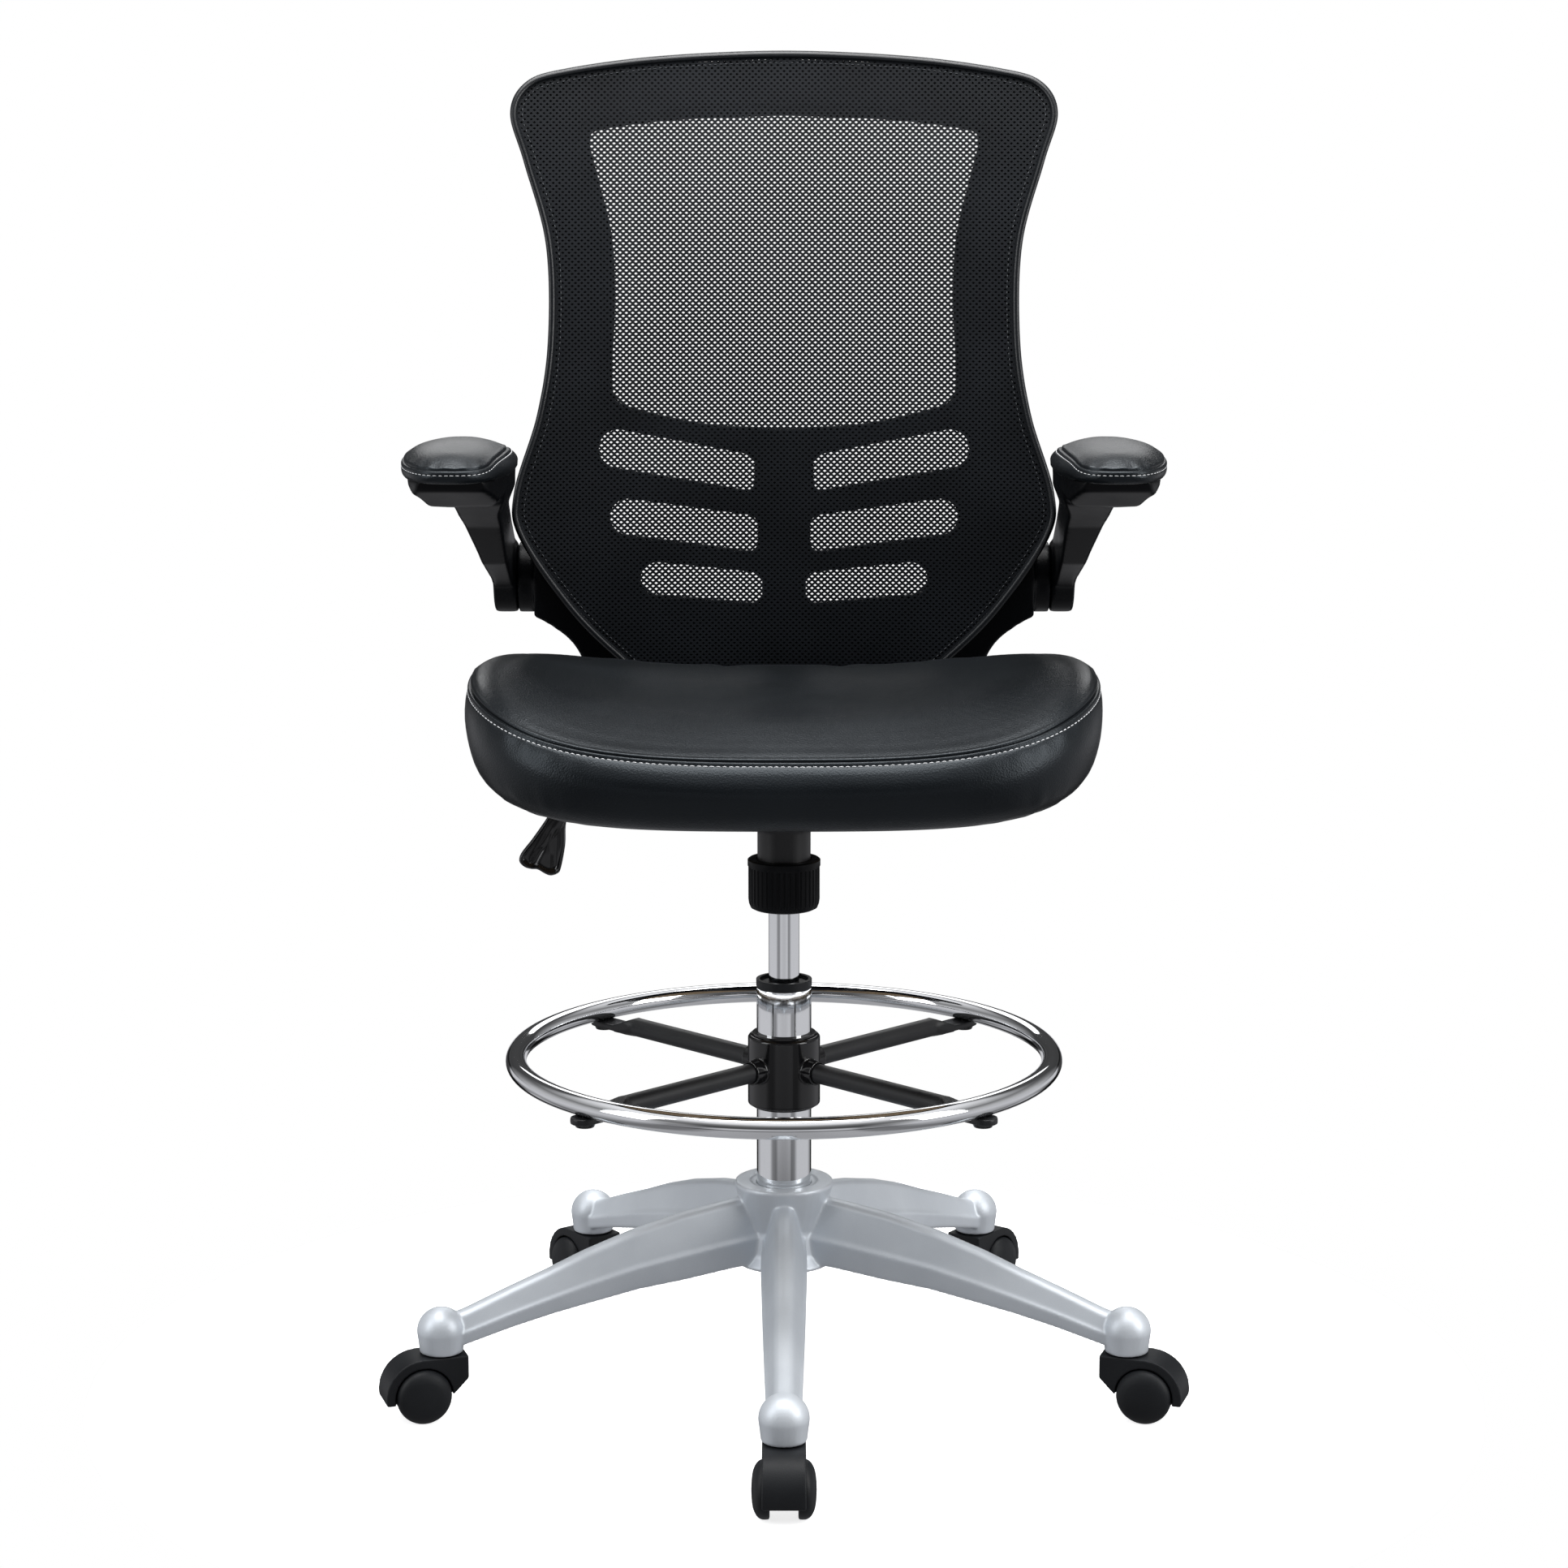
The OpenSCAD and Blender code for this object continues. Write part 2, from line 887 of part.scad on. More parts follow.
module lever_paddle() {
  paddle_t = 13;
  color(gloss_black)
    difference() {
      front_prism(-paddle_t / 2, paddle_t / 2)
        polygon(paddle_front);
      for (side = [-1, 1])
        translate([0, side * paddle_t / 2, 0])
          front_prism(-1.6, 1.6)
            polygon([
              [-203, 518],
              [-212, 518],
              [-231, 495],
              [-226, 489],
              [-210, 485],
              [-207, 487]
            ]);
      rod_between(lever_end, [lever_bend_x, lever_z], lever_rod_r);
    }
}

// ---------------------------------------------------------------- seat

seat_steps = 72;
seat_corner = 3.1;

// Point of the seat's outline at angle a, for an outline of the given share of full size
function seat_point(a, share) =
  let (c = cos(a), s = sin(a), e = 2 / seat_corner)
  let (y = sign(s) * pow(abs(s), e), taper = y > 0 ? 1 - 0.07 * y : 1)
  [
    sign(c) * pow(abs(c), e) * seat_w / 2 * share * taper,
    seat_y + y * (seat_d / 2 - seat_w / 2 * (1 - share))
  ];

function seat_outline(share) = [
  for (i = [0 : seat_steps - 1]) seat_point(360 * i / seat_steps, share)
];

rear_rise = 4.5;
front_drop = 22;
underside_rise = 24;

// Height added to the top of the cushion at x, y: raised sides and rear, and a front edge that falls away
function seat_rise(x, y) =
  let (side = abs(x) / (seat_w / 2), back = (y - seat_y) / (seat_d / 2))
  let (front = max(0, -back), rear = max(0, back))
  bolster_rise * pow(side, 2.6) * (1 - 0.75 * pow(front, 2)) - front_drop * pow(front, 4)
    + rear_rise * pow(rear, 2);

// Height added to the underside of the cushion at x: its sides curl up
function seat_curl(x) = underside_rise * pow(abs(x) / (seat_w / 2), 6);

cushion_rings = [
  // share of the outline, height of the ring, share of the top surface's rise
  [0.86, 0, 0],
  [0.925, 2, 0],
  [0.968, 12, 0],
  [0.99, 27, 0.1],
  [1, 44, 0.4],
  [0.995, 57, 0.75],
  [0.975, 68, 0.95],
  [0.94, 74, 1],
  [0.87, 78, 1],
  [0.7, 80, 1],
  [0.4, 80, 1],
  [0.1, 80, 1]
];

module seat_cushion() {
  pocket_h = pan_z + pan_t - seat_bottom_z;
  notch_gap = 0.3;
  rings = [
    for (ring = cushion_rings)
      [for (p = seat_outline(ring[0]))
        [p[0], p[1], seat_bottom_z + ring[1] * (seat_top_z - seat_bottom_z) / 80
          + ring[2] * seat_rise(p[0], p[1]) + (1 - ring[2]) * seat_curl(p[0])]]
  ];
  color(leather_black)
    difference() {
      skin(rings);
      translate([0, 0, seat_bottom_z - 1])
        linear_extrude(pocket_h + 1)
          polygon(seat_outline(pan_share));
      translate([-foot_w / 2 - notch_gap, foot_front_y, seat_bottom_z - 1])
        cube([foot_w + 2 * notch_gap, 120, pan_z + notch_gap - seat_bottom_z + 1]);
    }
}

plate_bolts = [[-60, -100], [60, -100], [-60, 70], [60, 70], [-30, 150], [30, 150]];

module at_plate_bolts() {
  for (p = plate_bolts)
    translate([p[0], p[1], 0])
      children();
}

module seat_pan() {
  color(ply_tan)
    difference() {
      translate([0, 0, pan_z])
        linear_extrude(pan_t)
          polygon(seat_outline(pan_share));
      at_plate_bolts()
        translate([0, 0, pan_z - 1])
          cylinder(h = pan_t - 1, r = bolt_r);
    }
}

module seat_plate() {
  ear_x = housing_w / 2 + 1;
  ear_t = 3;
  color(steel_black)
    difference() {
      union() {
        translate([-75, -130, plate_z])
          cube([150, 234, plate_t]);
        for (side = [-1, 1])
          side_prism(side > 0 ? ear_x : -ear_x - ear_t, side > 0 ? ear_x + ear_t : -ear_x)
            polygon([
              [tilt_pivot_y - 34, plate_z + 1],
              [tilt_pivot_y - 10, tilt_pivot_z - 9],
              [tilt_pivot_y + 10, tilt_pivot_z - 9],
              [tilt_pivot_y + 26, plate_z + 1]
            ]);
      }
      translate([0, tilt_pivot_y, tilt_pivot_z])
        rotate([0, 90, 0])
          cylinder(h = 200, r = pin_r + run_gap, center = true);
      at_plate_bolts()
        translate([0, 0, plate_z - 1])
          cylinder(h = plate_t + 2, r = bolt_r);
    }
}

foot_z = 562;
foot_front_y = 105;

module seat_bolts() {
  color(steel_grey)
    for (i = [0 : len(plate_bolts) - 1])
      translate([plate_bolts[i][0], plate_bolts[i][1], 0]) {
        under_z = i < 4 ? plate_z : foot_z;
        translate([0, 0, under_z - 4])
          cylinder(h = 4, r = bolt_head_r, $fn = 6);
        translate([0, 0, under_z - 1])
          cylinder(h = pan_z + pan_t - 3 - under_z, r = bolt_r);
      }
}

// ---------------------------------------------------------------- back

back_half = [
  // x, z down the back's right-hand edge
  [0, back_top_z],
  [116, 1210],
  [203, 1198.5],
  [242, 1186],
  [257, 1157],
  [244, 1111],
  [223.5, 1036],
  [221.5, 948],
  [232, 878],
  [254, 806],
  [250, 763],
  [206, 694],
  [160, 644],
  [112, 606],
  [0, 598]
];

window_half = [
  // x, z down the right-hand edge of the shell's large window
  [0, 1154],
  [100, 1150],
  [172, 1141],
  [183, 1131],
  [176, 1100],
  [162.5, 1045],
  [159, 985],
  [162, 918],
  [159, 893],
  [140, 882],
  [72, 867],
  [0, 863]
];

slots = [
  // inner top x, z; inner bottom x, z; outer end's centre x, z and radius
  [28, 838, 28, 804, 157, 844.5, 18],
  [25, 780, 25, 746, 148, 780, 17],
  [21, 725.5, 21, 696, 121, 720.5, 15.5]
];

// Curved band that follows the back: from in_t to out_t behind the back's front surface
module back_band(in_t, out_t) {
  spread = 40;
  translate([0, back_y - wrap_r, 0])
    rotate([0, 0, 90 - spread / 2])
      rotate_extrude(angle = spread, $fn = 720)
        intersection() {
          translate([wrap_r + lumbar_r, lumbar_z])
            difference() {
              circle(r = lumbar_r - in_t, $fn = 720);
              circle(r = lumbar_r - out_t, $fn = 720);
            }
          translate([wrap_r - 60, 500])
            square([260, 760]);
        }
}

module back_outline() {
  polygon(both_sides(smooth(back_half, 5)));
}

module slot_outline(s) {
  inner_r = 5;
  polygon([
    [s[0], s[1] - inner_r],
    [s[0] + inner_r, s[1]],
    [s[4] - s[6] * 0.1, s[5] + s[6] * 0.995],
    [s[4], s[5]],
    [s[4] + s[6] * 0.14, s[5] - s[6] * 0.99],
    [s[2] + inner_r, s[3]],
    [s[2], s[3] + inner_r]
  ]);
  translate([s[4], s[5]])
    circle(r = s[6]);
}

module back_shell() {
  color(plastic_black)
    difference() {
      intersection() {
        back_band(mesh_t + 1, mesh_t + 1 + shell_t);
        front_prism(100, 320)
          difference() {
            offset(delta = -trim_w)
              back_outline();
            polygon(both_sides(smooth(window_half, 4)));
            for (side = [0, 1])
              mirror([side, 0])
                for (s = slots)
                  slot_outline(s);
          }
      }
      for (b = back_bolt_spots)
        translate([b[0], b[2], b[1]])
          rotate([90, 0, 0])
            cylinder(h = 40, r = bolt_r, center = true);
    }
}

module back_trim() {
  color(gloss_black)
    intersection() {
      back_band(-3, mesh_t + 1 + shell_t);
      front_prism(100, 320)
        difference() {
          back_outline();
          offset(delta = -trim_w)
            back_outline();
        }
    }
}

module back_mesh() {
  color(mesh_black)
    intersection() {
      back_band(0, mesh_t);
      front_prism(100, 320)
        offset(delta = -trim_w)
          back_outline();
    }
}

yoke_outer = [
  // x, z down the yoke's right-hand lower edge
  [238, 685],
  [224, 677],
  [208, 664.5],
  [198, 652],
  [191, 637],
  [178, 612],
  [150, 590],
  [105, 573],
  [56, foot_z]
];

yoke_inner = [
  // x, z down the yoke's right-hand upper edge
  [238, 742],
  [206, 732],
  [176, 706],
  [152, 672],
  [120, 645],
  [70, 630],
  [0, 626]
];

yoke_in_t = mesh_t + 1 + shell_t;
yoke_t = 22;
foot_w = 112;

// x, z of each shell bolt, then the y of the seat of its head
back_bolt_spots = [
  for (side = [-1, 1])
    for (p = [[58, 620], [178, 690]])
      [side * p[0], p[1], back_y + pow(p[1] - lumbar_z, 2) / (2 * lumbar_r)
        - p[0] * p[0] / (2 * wrap_r) + yoke_in_t + yoke_t - 7]
];

module yoke_outline() {
  low = smooth(yoke_outer, 3);
  high = smooth(yoke_inner, 3);
  polygon(concat(
    low,
    [for (i = [len(low) - 1 : -1 : 0]) [-low[i][0], low[i][1]]],
    [for (p = high) [-p[0], p[1]]],
    [for (i = [len(high) - 2 : -1 : 0]) high[i]]
  ));
}

module back_yoke() {
  foot_rear_y = 262;
  foot_face_y = 243;
  color(plastic_black)
    difference() {
      union() {
        intersection() {
          back_band(yoke_in_t, yoke_in_t + yoke_t);
          front_prism(100, 340)
            yoke_outline();
        }
        side_prism(-foot_w / 2, foot_w / 2)
          polygon([
            [foot_front_y, foot_z],
            [foot_rear_y - 10, foot_z],
            [foot_rear_y, foot_z + 12],
            [foot_rear_y, 606],
            [foot_face_y, 606],
            [foot_face_y, pan_z + 4],
            [226, pan_z],
            [foot_front_y, pan_z]
          ]);
        for (side = [-1, 1])
          translate([side * (drum_x - 0.2 - 9), arm_pivot_y, arm_pivot_z])
            rotate([0, 90, 0])
              cylinder(h = 18, r = drum_r, center = true);
      }
      for (side = [-1, 1])
        translate([side * (drum_x - 9), arm_pivot_y, arm_pivot_z])
          rotate([0, 90, 0])
            cylinder(h = 40, r = arm_bolt_r, center = true);
      for (b = back_bolt_spots) {
        translate([b[0], b[2], b[1]])
          rotate([90, 0, 0])
            cylinder(h = 60, r = bolt_r, center = true);
        translate([b[0], b[2] + 30, b[1]])
          rotate([90, 0, 0])
            cylinder(h = 30, r = bolt_head_r + 1);
      }
      for (i = [4, 5])
        translate([plate_bolts[i][0], plate_bolts[i][1], foot_z - 1])
          cylinder(h = 20, r = bolt_r);
    }
}

module back_bolts() {
  color(steel_grey)
    for (b = back_bolt_spots)
      translate([b[0], b[2], b[1]])
        rotate([90, 0, 0]) {
          translate([0, 0, -4])
            cylinder(h = 4, r = bolt_head_r);
          cylinder(h = yoke_t - 2, r = bolt_r);
        }
}

// ---------------------------------------------------------------- arms

pad_x = 287;
pad_y = 8;
pad_bottom_z = 843;
pad_crown = 8;
pad_crown_y = -20;
support_top_z = 845;

// Both arms are modelled on the right (+x) and mirrored for the left
module sided(side) {
  mirror([side < 0 ? 1 : 0, 0, 0])
    children();
}

module arm_stem() {
  intersection() {
    side_prism(240, 310)
      polygon([
        [arm_pivot_y + 33, arm_pivot_z + 4],
        [arm_pivot_y + 24, arm_pivot_z + 26],
        [196, 782],
        [150, 812],
        [124, support_top_z - 6],
        [-10, support_top_z - 6],
        [16, 811],
        [74, 785],
        [132, 744],
        [arm_pivot_y - 34, arm_pivot_z - 6],
        [arm_pivot_y - 26, arm_pivot_z - 22],
        [arm_pivot_y, arm_pivot_z]
      ]);
    front_prism(-60, 300)
      polygon([
        [257, 680],
        [257, 800],
        [249, 818],
        [246, 848],
        [301, 848],
        [295, 800],
        [284, 758],
        [drum_x + drum_w, 725],
        [drum_x + drum_w, 680]
      ]);
  }
}

module arm_support() {
  intersection() {
    front_prism(-110, 150)
      polygon([
        [244, support_top_z],
        [245, 828],
        [256, 815],
        [276, 812],
        [300, 812],
        [311, 818],
        [317, 828],
        [327, 836],
        [331, support_top_z]
      ]);
    side_prism(240, 335)
      polygon([
        [-104, support_top_z],
        [-100, 835],
        [-60, 818],
        [-10, 812],
        [70, 812],
        [112, 825],
        [124, 836],
        [126, support_top_z]
      ]);
    translate([0, 0, 790])
      linear_extrude(60)
        polygon(pad_outline(0.9));
  }
}

// Thickness of the pad at x, y: less towards both ends and towards the sitter
function pad_thickness(x, y) =
  let (along = (y - pad_crown_y) / 100, inner = max(0, (pad_x - x) / (pad_w / 2)))
  (pad_top_z - pad_bottom_z - pad_crown * pow(along, 2)) * (1 - 0.2 * pow(inner, 2));

function pad_outline(share) = [
  for (i = [0 : 47])
    let (a = 360 * i / 48, e = 2 / 2.7, c = cos(a), s = sin(a), y = sign(s) * pow(abs(s), e))
      [
        pad_x + sign(c) * pow(abs(c), e) * pad_w / 2 * share * (y > 0 ? 1 - 0.14 * y : 1),
        pad_y + y * (pad_l / 2 - pad_w / 2 * (1 - share))
      ]
];

module arm(side) {
  color(plastic_black)
    sided(side)
      difference() {
        union() {
          arm_stem();
          arm_support();
          translate([drum_x, arm_pivot_y, arm_pivot_z])
            rotate([0, 90, 0])
              cylinder(h = drum_w, r = drum_r);
        }
        translate([drum_x - 1, arm_pivot_y, arm_pivot_z])
          rotate([0, 90, 0])
            cylinder(h = drum_w - 4, r = arm_bolt_r + run_gap);
      }
}

pad_rings = [
  // share of the outline, height above the pad's underside as a share of its thickness
  [0.8, 0],
  [0.93, 0.04],
  [0.985, 0.14],
  [1, 0.3],
  [0.985, 0.43],
  [0.93, 0.57],
  [0.84, 0.69],
  [0.7, 0.81],
  [0.5, 0.91],
  [0.3, 0.97],
  [0.12, 1]
];

module arm_pad(side) {
  sink = 2;
  color(leather_black)
    sided(side)
      difference() {
        skin([
          for (ring = pad_rings)
            [for (p = pad_outline(ring[0]))
              [p[0], p[1], pad_bottom_z + ring[1] * pad_thickness(p[0], p[1])]]
        ]);
        translate([0, 0, pad_bottom_z - 1])
          linear_extrude(sink + 1)
            polygon(pad_outline(0.9));
      }
}

module arm_bolt(side) {
  color(steel_grey)
    sided(side)
      translate([drum_x - 0.2 - 18, arm_pivot_y, arm_pivot_z])
        rotate([0, 90, 0]) {
          cylinder(h = 18 + drum_w - 6, r = arm_bolt_r);
          translate([0, 0, -4])
            cylinder(h = 4, r = arm_bolt_r + 5);
        }
}

// ---------------------------------------------------------------- nodes

star_base();
column_tube();
guide_bush();
thrust_bearing();
caster_hood(0);  // caster_hood_1
caster_hood(1);  // caster_hood_2
caster_hood(2);  // caster_hood_3
caster_hood(3);  // caster_hood_4
caster_hood(4);  // caster_hood_5
caster_pins(0);  // caster_pins_1
caster_pins(1);  // caster_pins_2
caster_pins(2);  // caster_pins_3
caster_pins(3);  // caster_pins_4
caster_pins(4);  // caster_pins_5
caster_wheel(0, 1);  // wheel_1a
caster_wheel(1, 1);  // wheel_2a
caster_wheel(2, 1);  // wheel_3a
caster_wheel(3, 1);  // wheel_4a
caster_wheel(4, 1);  // wheel_5a
caster_wheel(0, -1);  // wheel_1b
caster_wheel(1, -1);  // wheel_2b
caster_wheel(2, -1);  // wheel_3b
caster_wheel(3, -1);  // wheel_4b
caster_wheel(4, -1);  // wheel_5b
ring_collet();
ring_hub();
ring_spokes();
foot_ring();
ring_screws();
piston_rod();
retaining_clip();
gas_cylinder();
cylinder_gland();
valve_button();
tilt_housing();
tilt_pin();
tension_knob();
tension_screw();
spring_nut();
tension_spring();
lever_block();
lever_rod();
lever_paddle();
seat_plate();
seat_pan();
seat_cushion();
seat_bolts();
back_yoke();
back_shell();
back_trim();
back_mesh();
back_bolts();
arm(-1);  // arm_left
arm(1);  // arm_right
arm_pad(-1);  // arm_pad_left
arm_pad(1);  // arm_pad_right
arm_bolt(-1);  // arm_bolt_left
arm_bolt(1);  // arm_bolt_right
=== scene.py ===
"""Drafting chair: the looks built around its CAD frame. Lengths are in millimetres until a mesh is made."""

import json
import math

import bmesh
import bpy
import numpy as np
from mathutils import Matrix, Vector


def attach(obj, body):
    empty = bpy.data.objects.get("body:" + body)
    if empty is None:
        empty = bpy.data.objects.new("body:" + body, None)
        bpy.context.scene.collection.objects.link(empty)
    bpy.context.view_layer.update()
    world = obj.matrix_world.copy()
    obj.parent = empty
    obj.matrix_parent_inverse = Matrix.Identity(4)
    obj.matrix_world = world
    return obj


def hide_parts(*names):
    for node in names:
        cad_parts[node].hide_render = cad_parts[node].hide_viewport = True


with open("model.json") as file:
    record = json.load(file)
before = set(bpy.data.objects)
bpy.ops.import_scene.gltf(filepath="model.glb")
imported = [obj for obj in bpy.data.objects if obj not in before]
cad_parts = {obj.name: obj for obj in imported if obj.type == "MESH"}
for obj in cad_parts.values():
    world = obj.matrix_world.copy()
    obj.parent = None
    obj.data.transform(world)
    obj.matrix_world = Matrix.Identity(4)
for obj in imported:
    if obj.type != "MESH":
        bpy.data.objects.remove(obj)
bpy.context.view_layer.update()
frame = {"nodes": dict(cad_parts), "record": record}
nodes = frame["nodes"]
scene = bpy.context.scene

MM = 0.001
WELD_DISTANCE = 0.00002

# ---------------------------------------------------------------- materials


def link(tree, source, target):
    tree.links.new(source, target)


def texture_node(tree, kind, coords, **values):
    node = tree.nodes.new(kind)
    for name, value in values.items():
        if name in node.inputs:
            node.inputs[name].default_value = value
        else:
            setattr(node, name, value)
    link(tree, coords, node.inputs["Vector"])
    return node


def remap(tree, source, low, high, to_low, to_high):
    node = tree.nodes.new("ShaderNodeMapRange")
    for name, value in (("From Min", low), ("From Max", high), ("To Min", to_low), ("To Max", to_high)):
        node.inputs[name].default_value = value
    link(tree, source, node.inputs["Value"])
    return node.outputs["Result"]


def blend_colour(tree, factor, first, second):
    node = tree.nodes.new("ShaderNodeMix")
    node.data_type = "RGBA"
    node.inputs[6].default_value = (*first, 1)
    if isinstance(second, tuple):
        node.inputs[7].default_value = (*second, 1)
    else:
        link(tree, second, node.inputs[7])
    link(tree, factor, node.inputs[0])
    return node.outputs[2]


def add_up(tree, first, second, share):
    node = tree.nodes.new("ShaderNodeMath")
    node.operation = "MULTIPLY_ADD"
    node.inputs[1].default_value = share
    link(tree, second, node.inputs[0])
    link(tree, first, node.inputs[2])
    return node.outputs[0]


def surface(name, dark, light, rough, metallic=0.0, patch=14.0, grain=1800.0, grain_depth=0.02,
            rough_span=0.06, cells=0.0, cell_depth=0.05, tint=(1, 1, 1), sheen=0.0, specular=0.5, wear=None):
    """A material with patchy colour, uneven gloss, a fine grain, optional pebble cells and worn edges."""
    made = bpy.data.materials.new(name)
    made.use_nodes = True
    tree = made.node_tree
    shader = tree.nodes["Principled BSDF"]
    coords = tree.nodes.new("ShaderNodeTexCoord").outputs["Object"]
    shader.inputs["Metallic"].default_value = metallic
    shader.inputs["Specular IOR Level"].default_value = specular
    shader.inputs["Specular Tint"].default_value = (*tint, 1)
    shader.inputs["Sheen Weight"].default_value = sheen
    shader.inputs["Sheen Roughness"].default_value = 0.45
    patches = texture_node(tree, "ShaderNodeTexNoise", coords, Scale=patch, Detail=4.0, Roughness=0.6)
    fine = texture_node(tree, "ShaderNodeTexNoise", coords, Scale=grain, Detail=2.0, Roughness=0.55)
    share = remap(tree, add_up(tree, patches.outputs["Fac"], fine.outputs["Fac"], 0.35), 0.45, 0.9, 0.0, 1.0)
    colour = blend_colour(tree, share, dark, light)
    if wear:
        edges = tree.nodes.new("ShaderNodeNewGeometry").outputs["Pointiness"]
        worn = remap(tree, edges, 0.52, 0.6, 0.0, 0.6)
        node = tree.nodes.new("ShaderNodeMix")
        node.data_type = "RGBA"
        link(tree, worn, node.inputs[0])
        link(tree, colour, node.inputs[6])
        node.inputs[7].default_value = (*wear, 1)
        colour = node.outputs[2]
    link(tree, colour, shader.inputs["Base Color"])
    uneven = remap(tree, add_up(tree, patches.outputs["Fac"], fine.outputs["Fac"], 0.5),
                   0.4, 1.1, rough - rough_span, rough + rough_span)
    link(tree, uneven, shader.inputs["Roughness"])
    height = fine.outputs["Fac"]
    if cells:
        pebbles = texture_node(tree, "ShaderNodeTexVoronoi", coords, Scale=cells, feature="SMOOTH_F1",
                               Randomness=1.0, Smoothness=0.4)
        height = add_up(tree, height, pebbles.outputs["Distance"], cell_depth / max(grain_depth, 1e-6))
    bump = tree.nodes.new("ShaderNodeBump")
    bump.inputs["Strength"].default_value = 1.0
    bump.inputs["Distance"].default_value = grain_depth * MM
    link(tree, height, bump.inputs["Height"])
    link(tree, bump.outputs["Normal"], shader.inputs["Normal"])
    return made


cast = surface("cast_silver", (0.60, 0.64, 0.685), (0.70, 0.74, 0.78), 0.47, metallic=0.42, patch=9.0,
               grain=1500.0, grain_depth=0.03, rough_span=0.05, wear=(0.86, 0.885, 0.92))
chrome = surface("chrome_plate", (0.80, 0.815, 0.83), (0.86, 0.87, 0.885), 0.045, metallic=1.0, patch=6.0,
                 grain=600.0, grain_depth=0.0006, rough_span=0.03)
ground_steel = surface("ground_steel", (0.50, 0.53, 0.56), (0.60, 0.63, 0.66), 0.2, metallic=1.0, patch=12.0,
                       grain=900.0, grain_depth=0.003, rough_span=0.06)
nylon = surface("black_nylon_grained", (0.0065, 0.0074, 0.0088), (0.011, 0.0124, 0.0145), 0.5, patch=20.0,
                grain=1600.0, grain_depth=0.035, rough_span=0.08, cells=1100.0, cell_depth=0.04,
                specular=0.25, wear=(0.026, 0.028, 0.031))
plastic = surface("black_plastic_moulded", (0.0018, 0.0020, 0.0026), (0.0038, 0.0042, 0.0052), 0.38,
                  patch=12.0, grain=1500.0, grain_depth=0.025, rough_span=0.08, cells=900.0, cell_depth=0.03,
                  specular=0.1, wear=(0.006, 0.0065, 0.0075))
gloss = surface("black_gloss_moulded", (0.003, 0.003, 0.0035), (0.005, 0.005, 0.006), 0.13, patch=30.0,
                grain=400.0, grain_depth=0.004, rough_span=0.05, specular=0.5)
powder = surface("black_powder_coat", (0.008, 0.0085, 0.0095), (0.014, 0.0145, 0.016), 0.4, patch=18.0,
                 grain=1400.0, grain_depth=0.03, rough_span=0.07, cells=1400.0, cell_depth=0.03, specular=0.4)
leather = surface("black_leather_grained", (0.0020, 0.0028, 0.0037), (0.0040, 0.0053, 0.0068), 0.35,
                  patch=7.0, grain=900.0, grain_depth=0.05, rough_span=0.06, cells=620.0, cell_depth=0.14,
                  specular=0.3, tint=(0.82, 0.92, 1.0), sheen=0.01)
piping = surface("black_piping", (0.004, 0.005, 0.0065), (0.008, 0.0095, 0.0115), 0.32, patch=16.0,
                 grain=900.0, grain_depth=0.04, rough_span=0.06, cells=700.0, cell_depth=0.06, specular=0.42)
ply = surface("pressed_plywood", (0.42, 0.29, 0.17), (0.60, 0.45, 0.28), 0.6, patch=30.0, grain=500.0,
              grain_depth=0.06, rough_span=0.1)
white_thread = surface("pale_thread", (0.62, 0.63, 0.64), (0.80, 0.81, 0.82), 0.6, patch=200.0, grain=3500.0,
                       grain_depth=0.05, rough_span=0.1)
grey_thread = surface("grey_thread", (0.055, 0.060, 0.066), (0.10, 0.106, 0.114), 0.6, patch=200.0,
                      grain=3500.0, grain_depth=0.05, rough_span=0.1)


def weave_material():
    """Knitted mesh: fine twisted yarns along the strands, a soft sheen and uneven colour."""
    made = surface("mesh_yarn", (0.0042, 0.0054, 0.0072), (0.0088, 0.0108, 0.0140), 0.55, patch=10.0,
                   grain=1200.0, grain_depth=0.05, rough_span=0.08, specular=0.2, sheen=0.02)
    tree = made.node_tree
    coords = tree.nodes.new("ShaderNodeTexCoord").outputs["Object"]
    waves = tree.nodes.new("ShaderNodeTexWave")
    waves.wave_type = "BANDS"
    waves.bands_direction = "DIAGONAL"
    waves.inputs["Scale"].default_value = 320.0
    waves.inputs["Distortion"].default_value = 1.5
    link(tree, coords, waves.inputs["Vector"])
    bump = next(n for n in tree.nodes if n.type == "BUMP")
    height = add_up(tree, bump.inputs["Height"].links[0].from_socket, waves.outputs["Fac"], 0.8)
    link(tree, height, bump.inputs["Height"])
    return made


weave = weave_material()

# ---------------------------------------------------------------- mesh helpers


def make_object(name, points, faces, material, smooth=True):
    mesh = bpy.data.meshes.new(name)
    mesh.from_pydata((np.asarray(points, float) * MM).tolist(), [], faces)
    mesh.update()
    if smooth:
        mesh.shade_smooth()
    mesh.materials.append(material)
    made = bpy.data.objects.new(name, mesh)
    scene.collection.objects.link(made)
    return made


def grid_faces(rows, cols, offset=0):
    """Quads over rows of points that each close on themselves."""
    i, j = np.meshgrid(np.arange(rows - 1), np.arange(cols), indexing="ij")
    k = (j + 1) % cols
    quads = np.stack([i * cols + j, i * cols + k, (i + 1) * cols + k, (i + 1) * cols + j], -1) + offset
    return quads.reshape(-1, 4).tolist()


def capped(grid):
    """Points and faces of a closed skin: rows of points round it, and a fan over each end."""
    rows, cols = grid.shape[:2]
    points = np.vstack([grid.reshape(-1, 3), grid[0].mean(0)[None], grid[-1].mean(0)[None]])
    bottom, top = rows * cols, rows * cols + 1
    last = (rows - 1) * cols
    faces = grid_faces(rows, cols)
    faces += [(bottom, (k + 1) % cols, k) for k in range(cols)]
    faces += [(last + k, last + (k + 1) % cols, top) for k in range(cols)]
    return points, faces


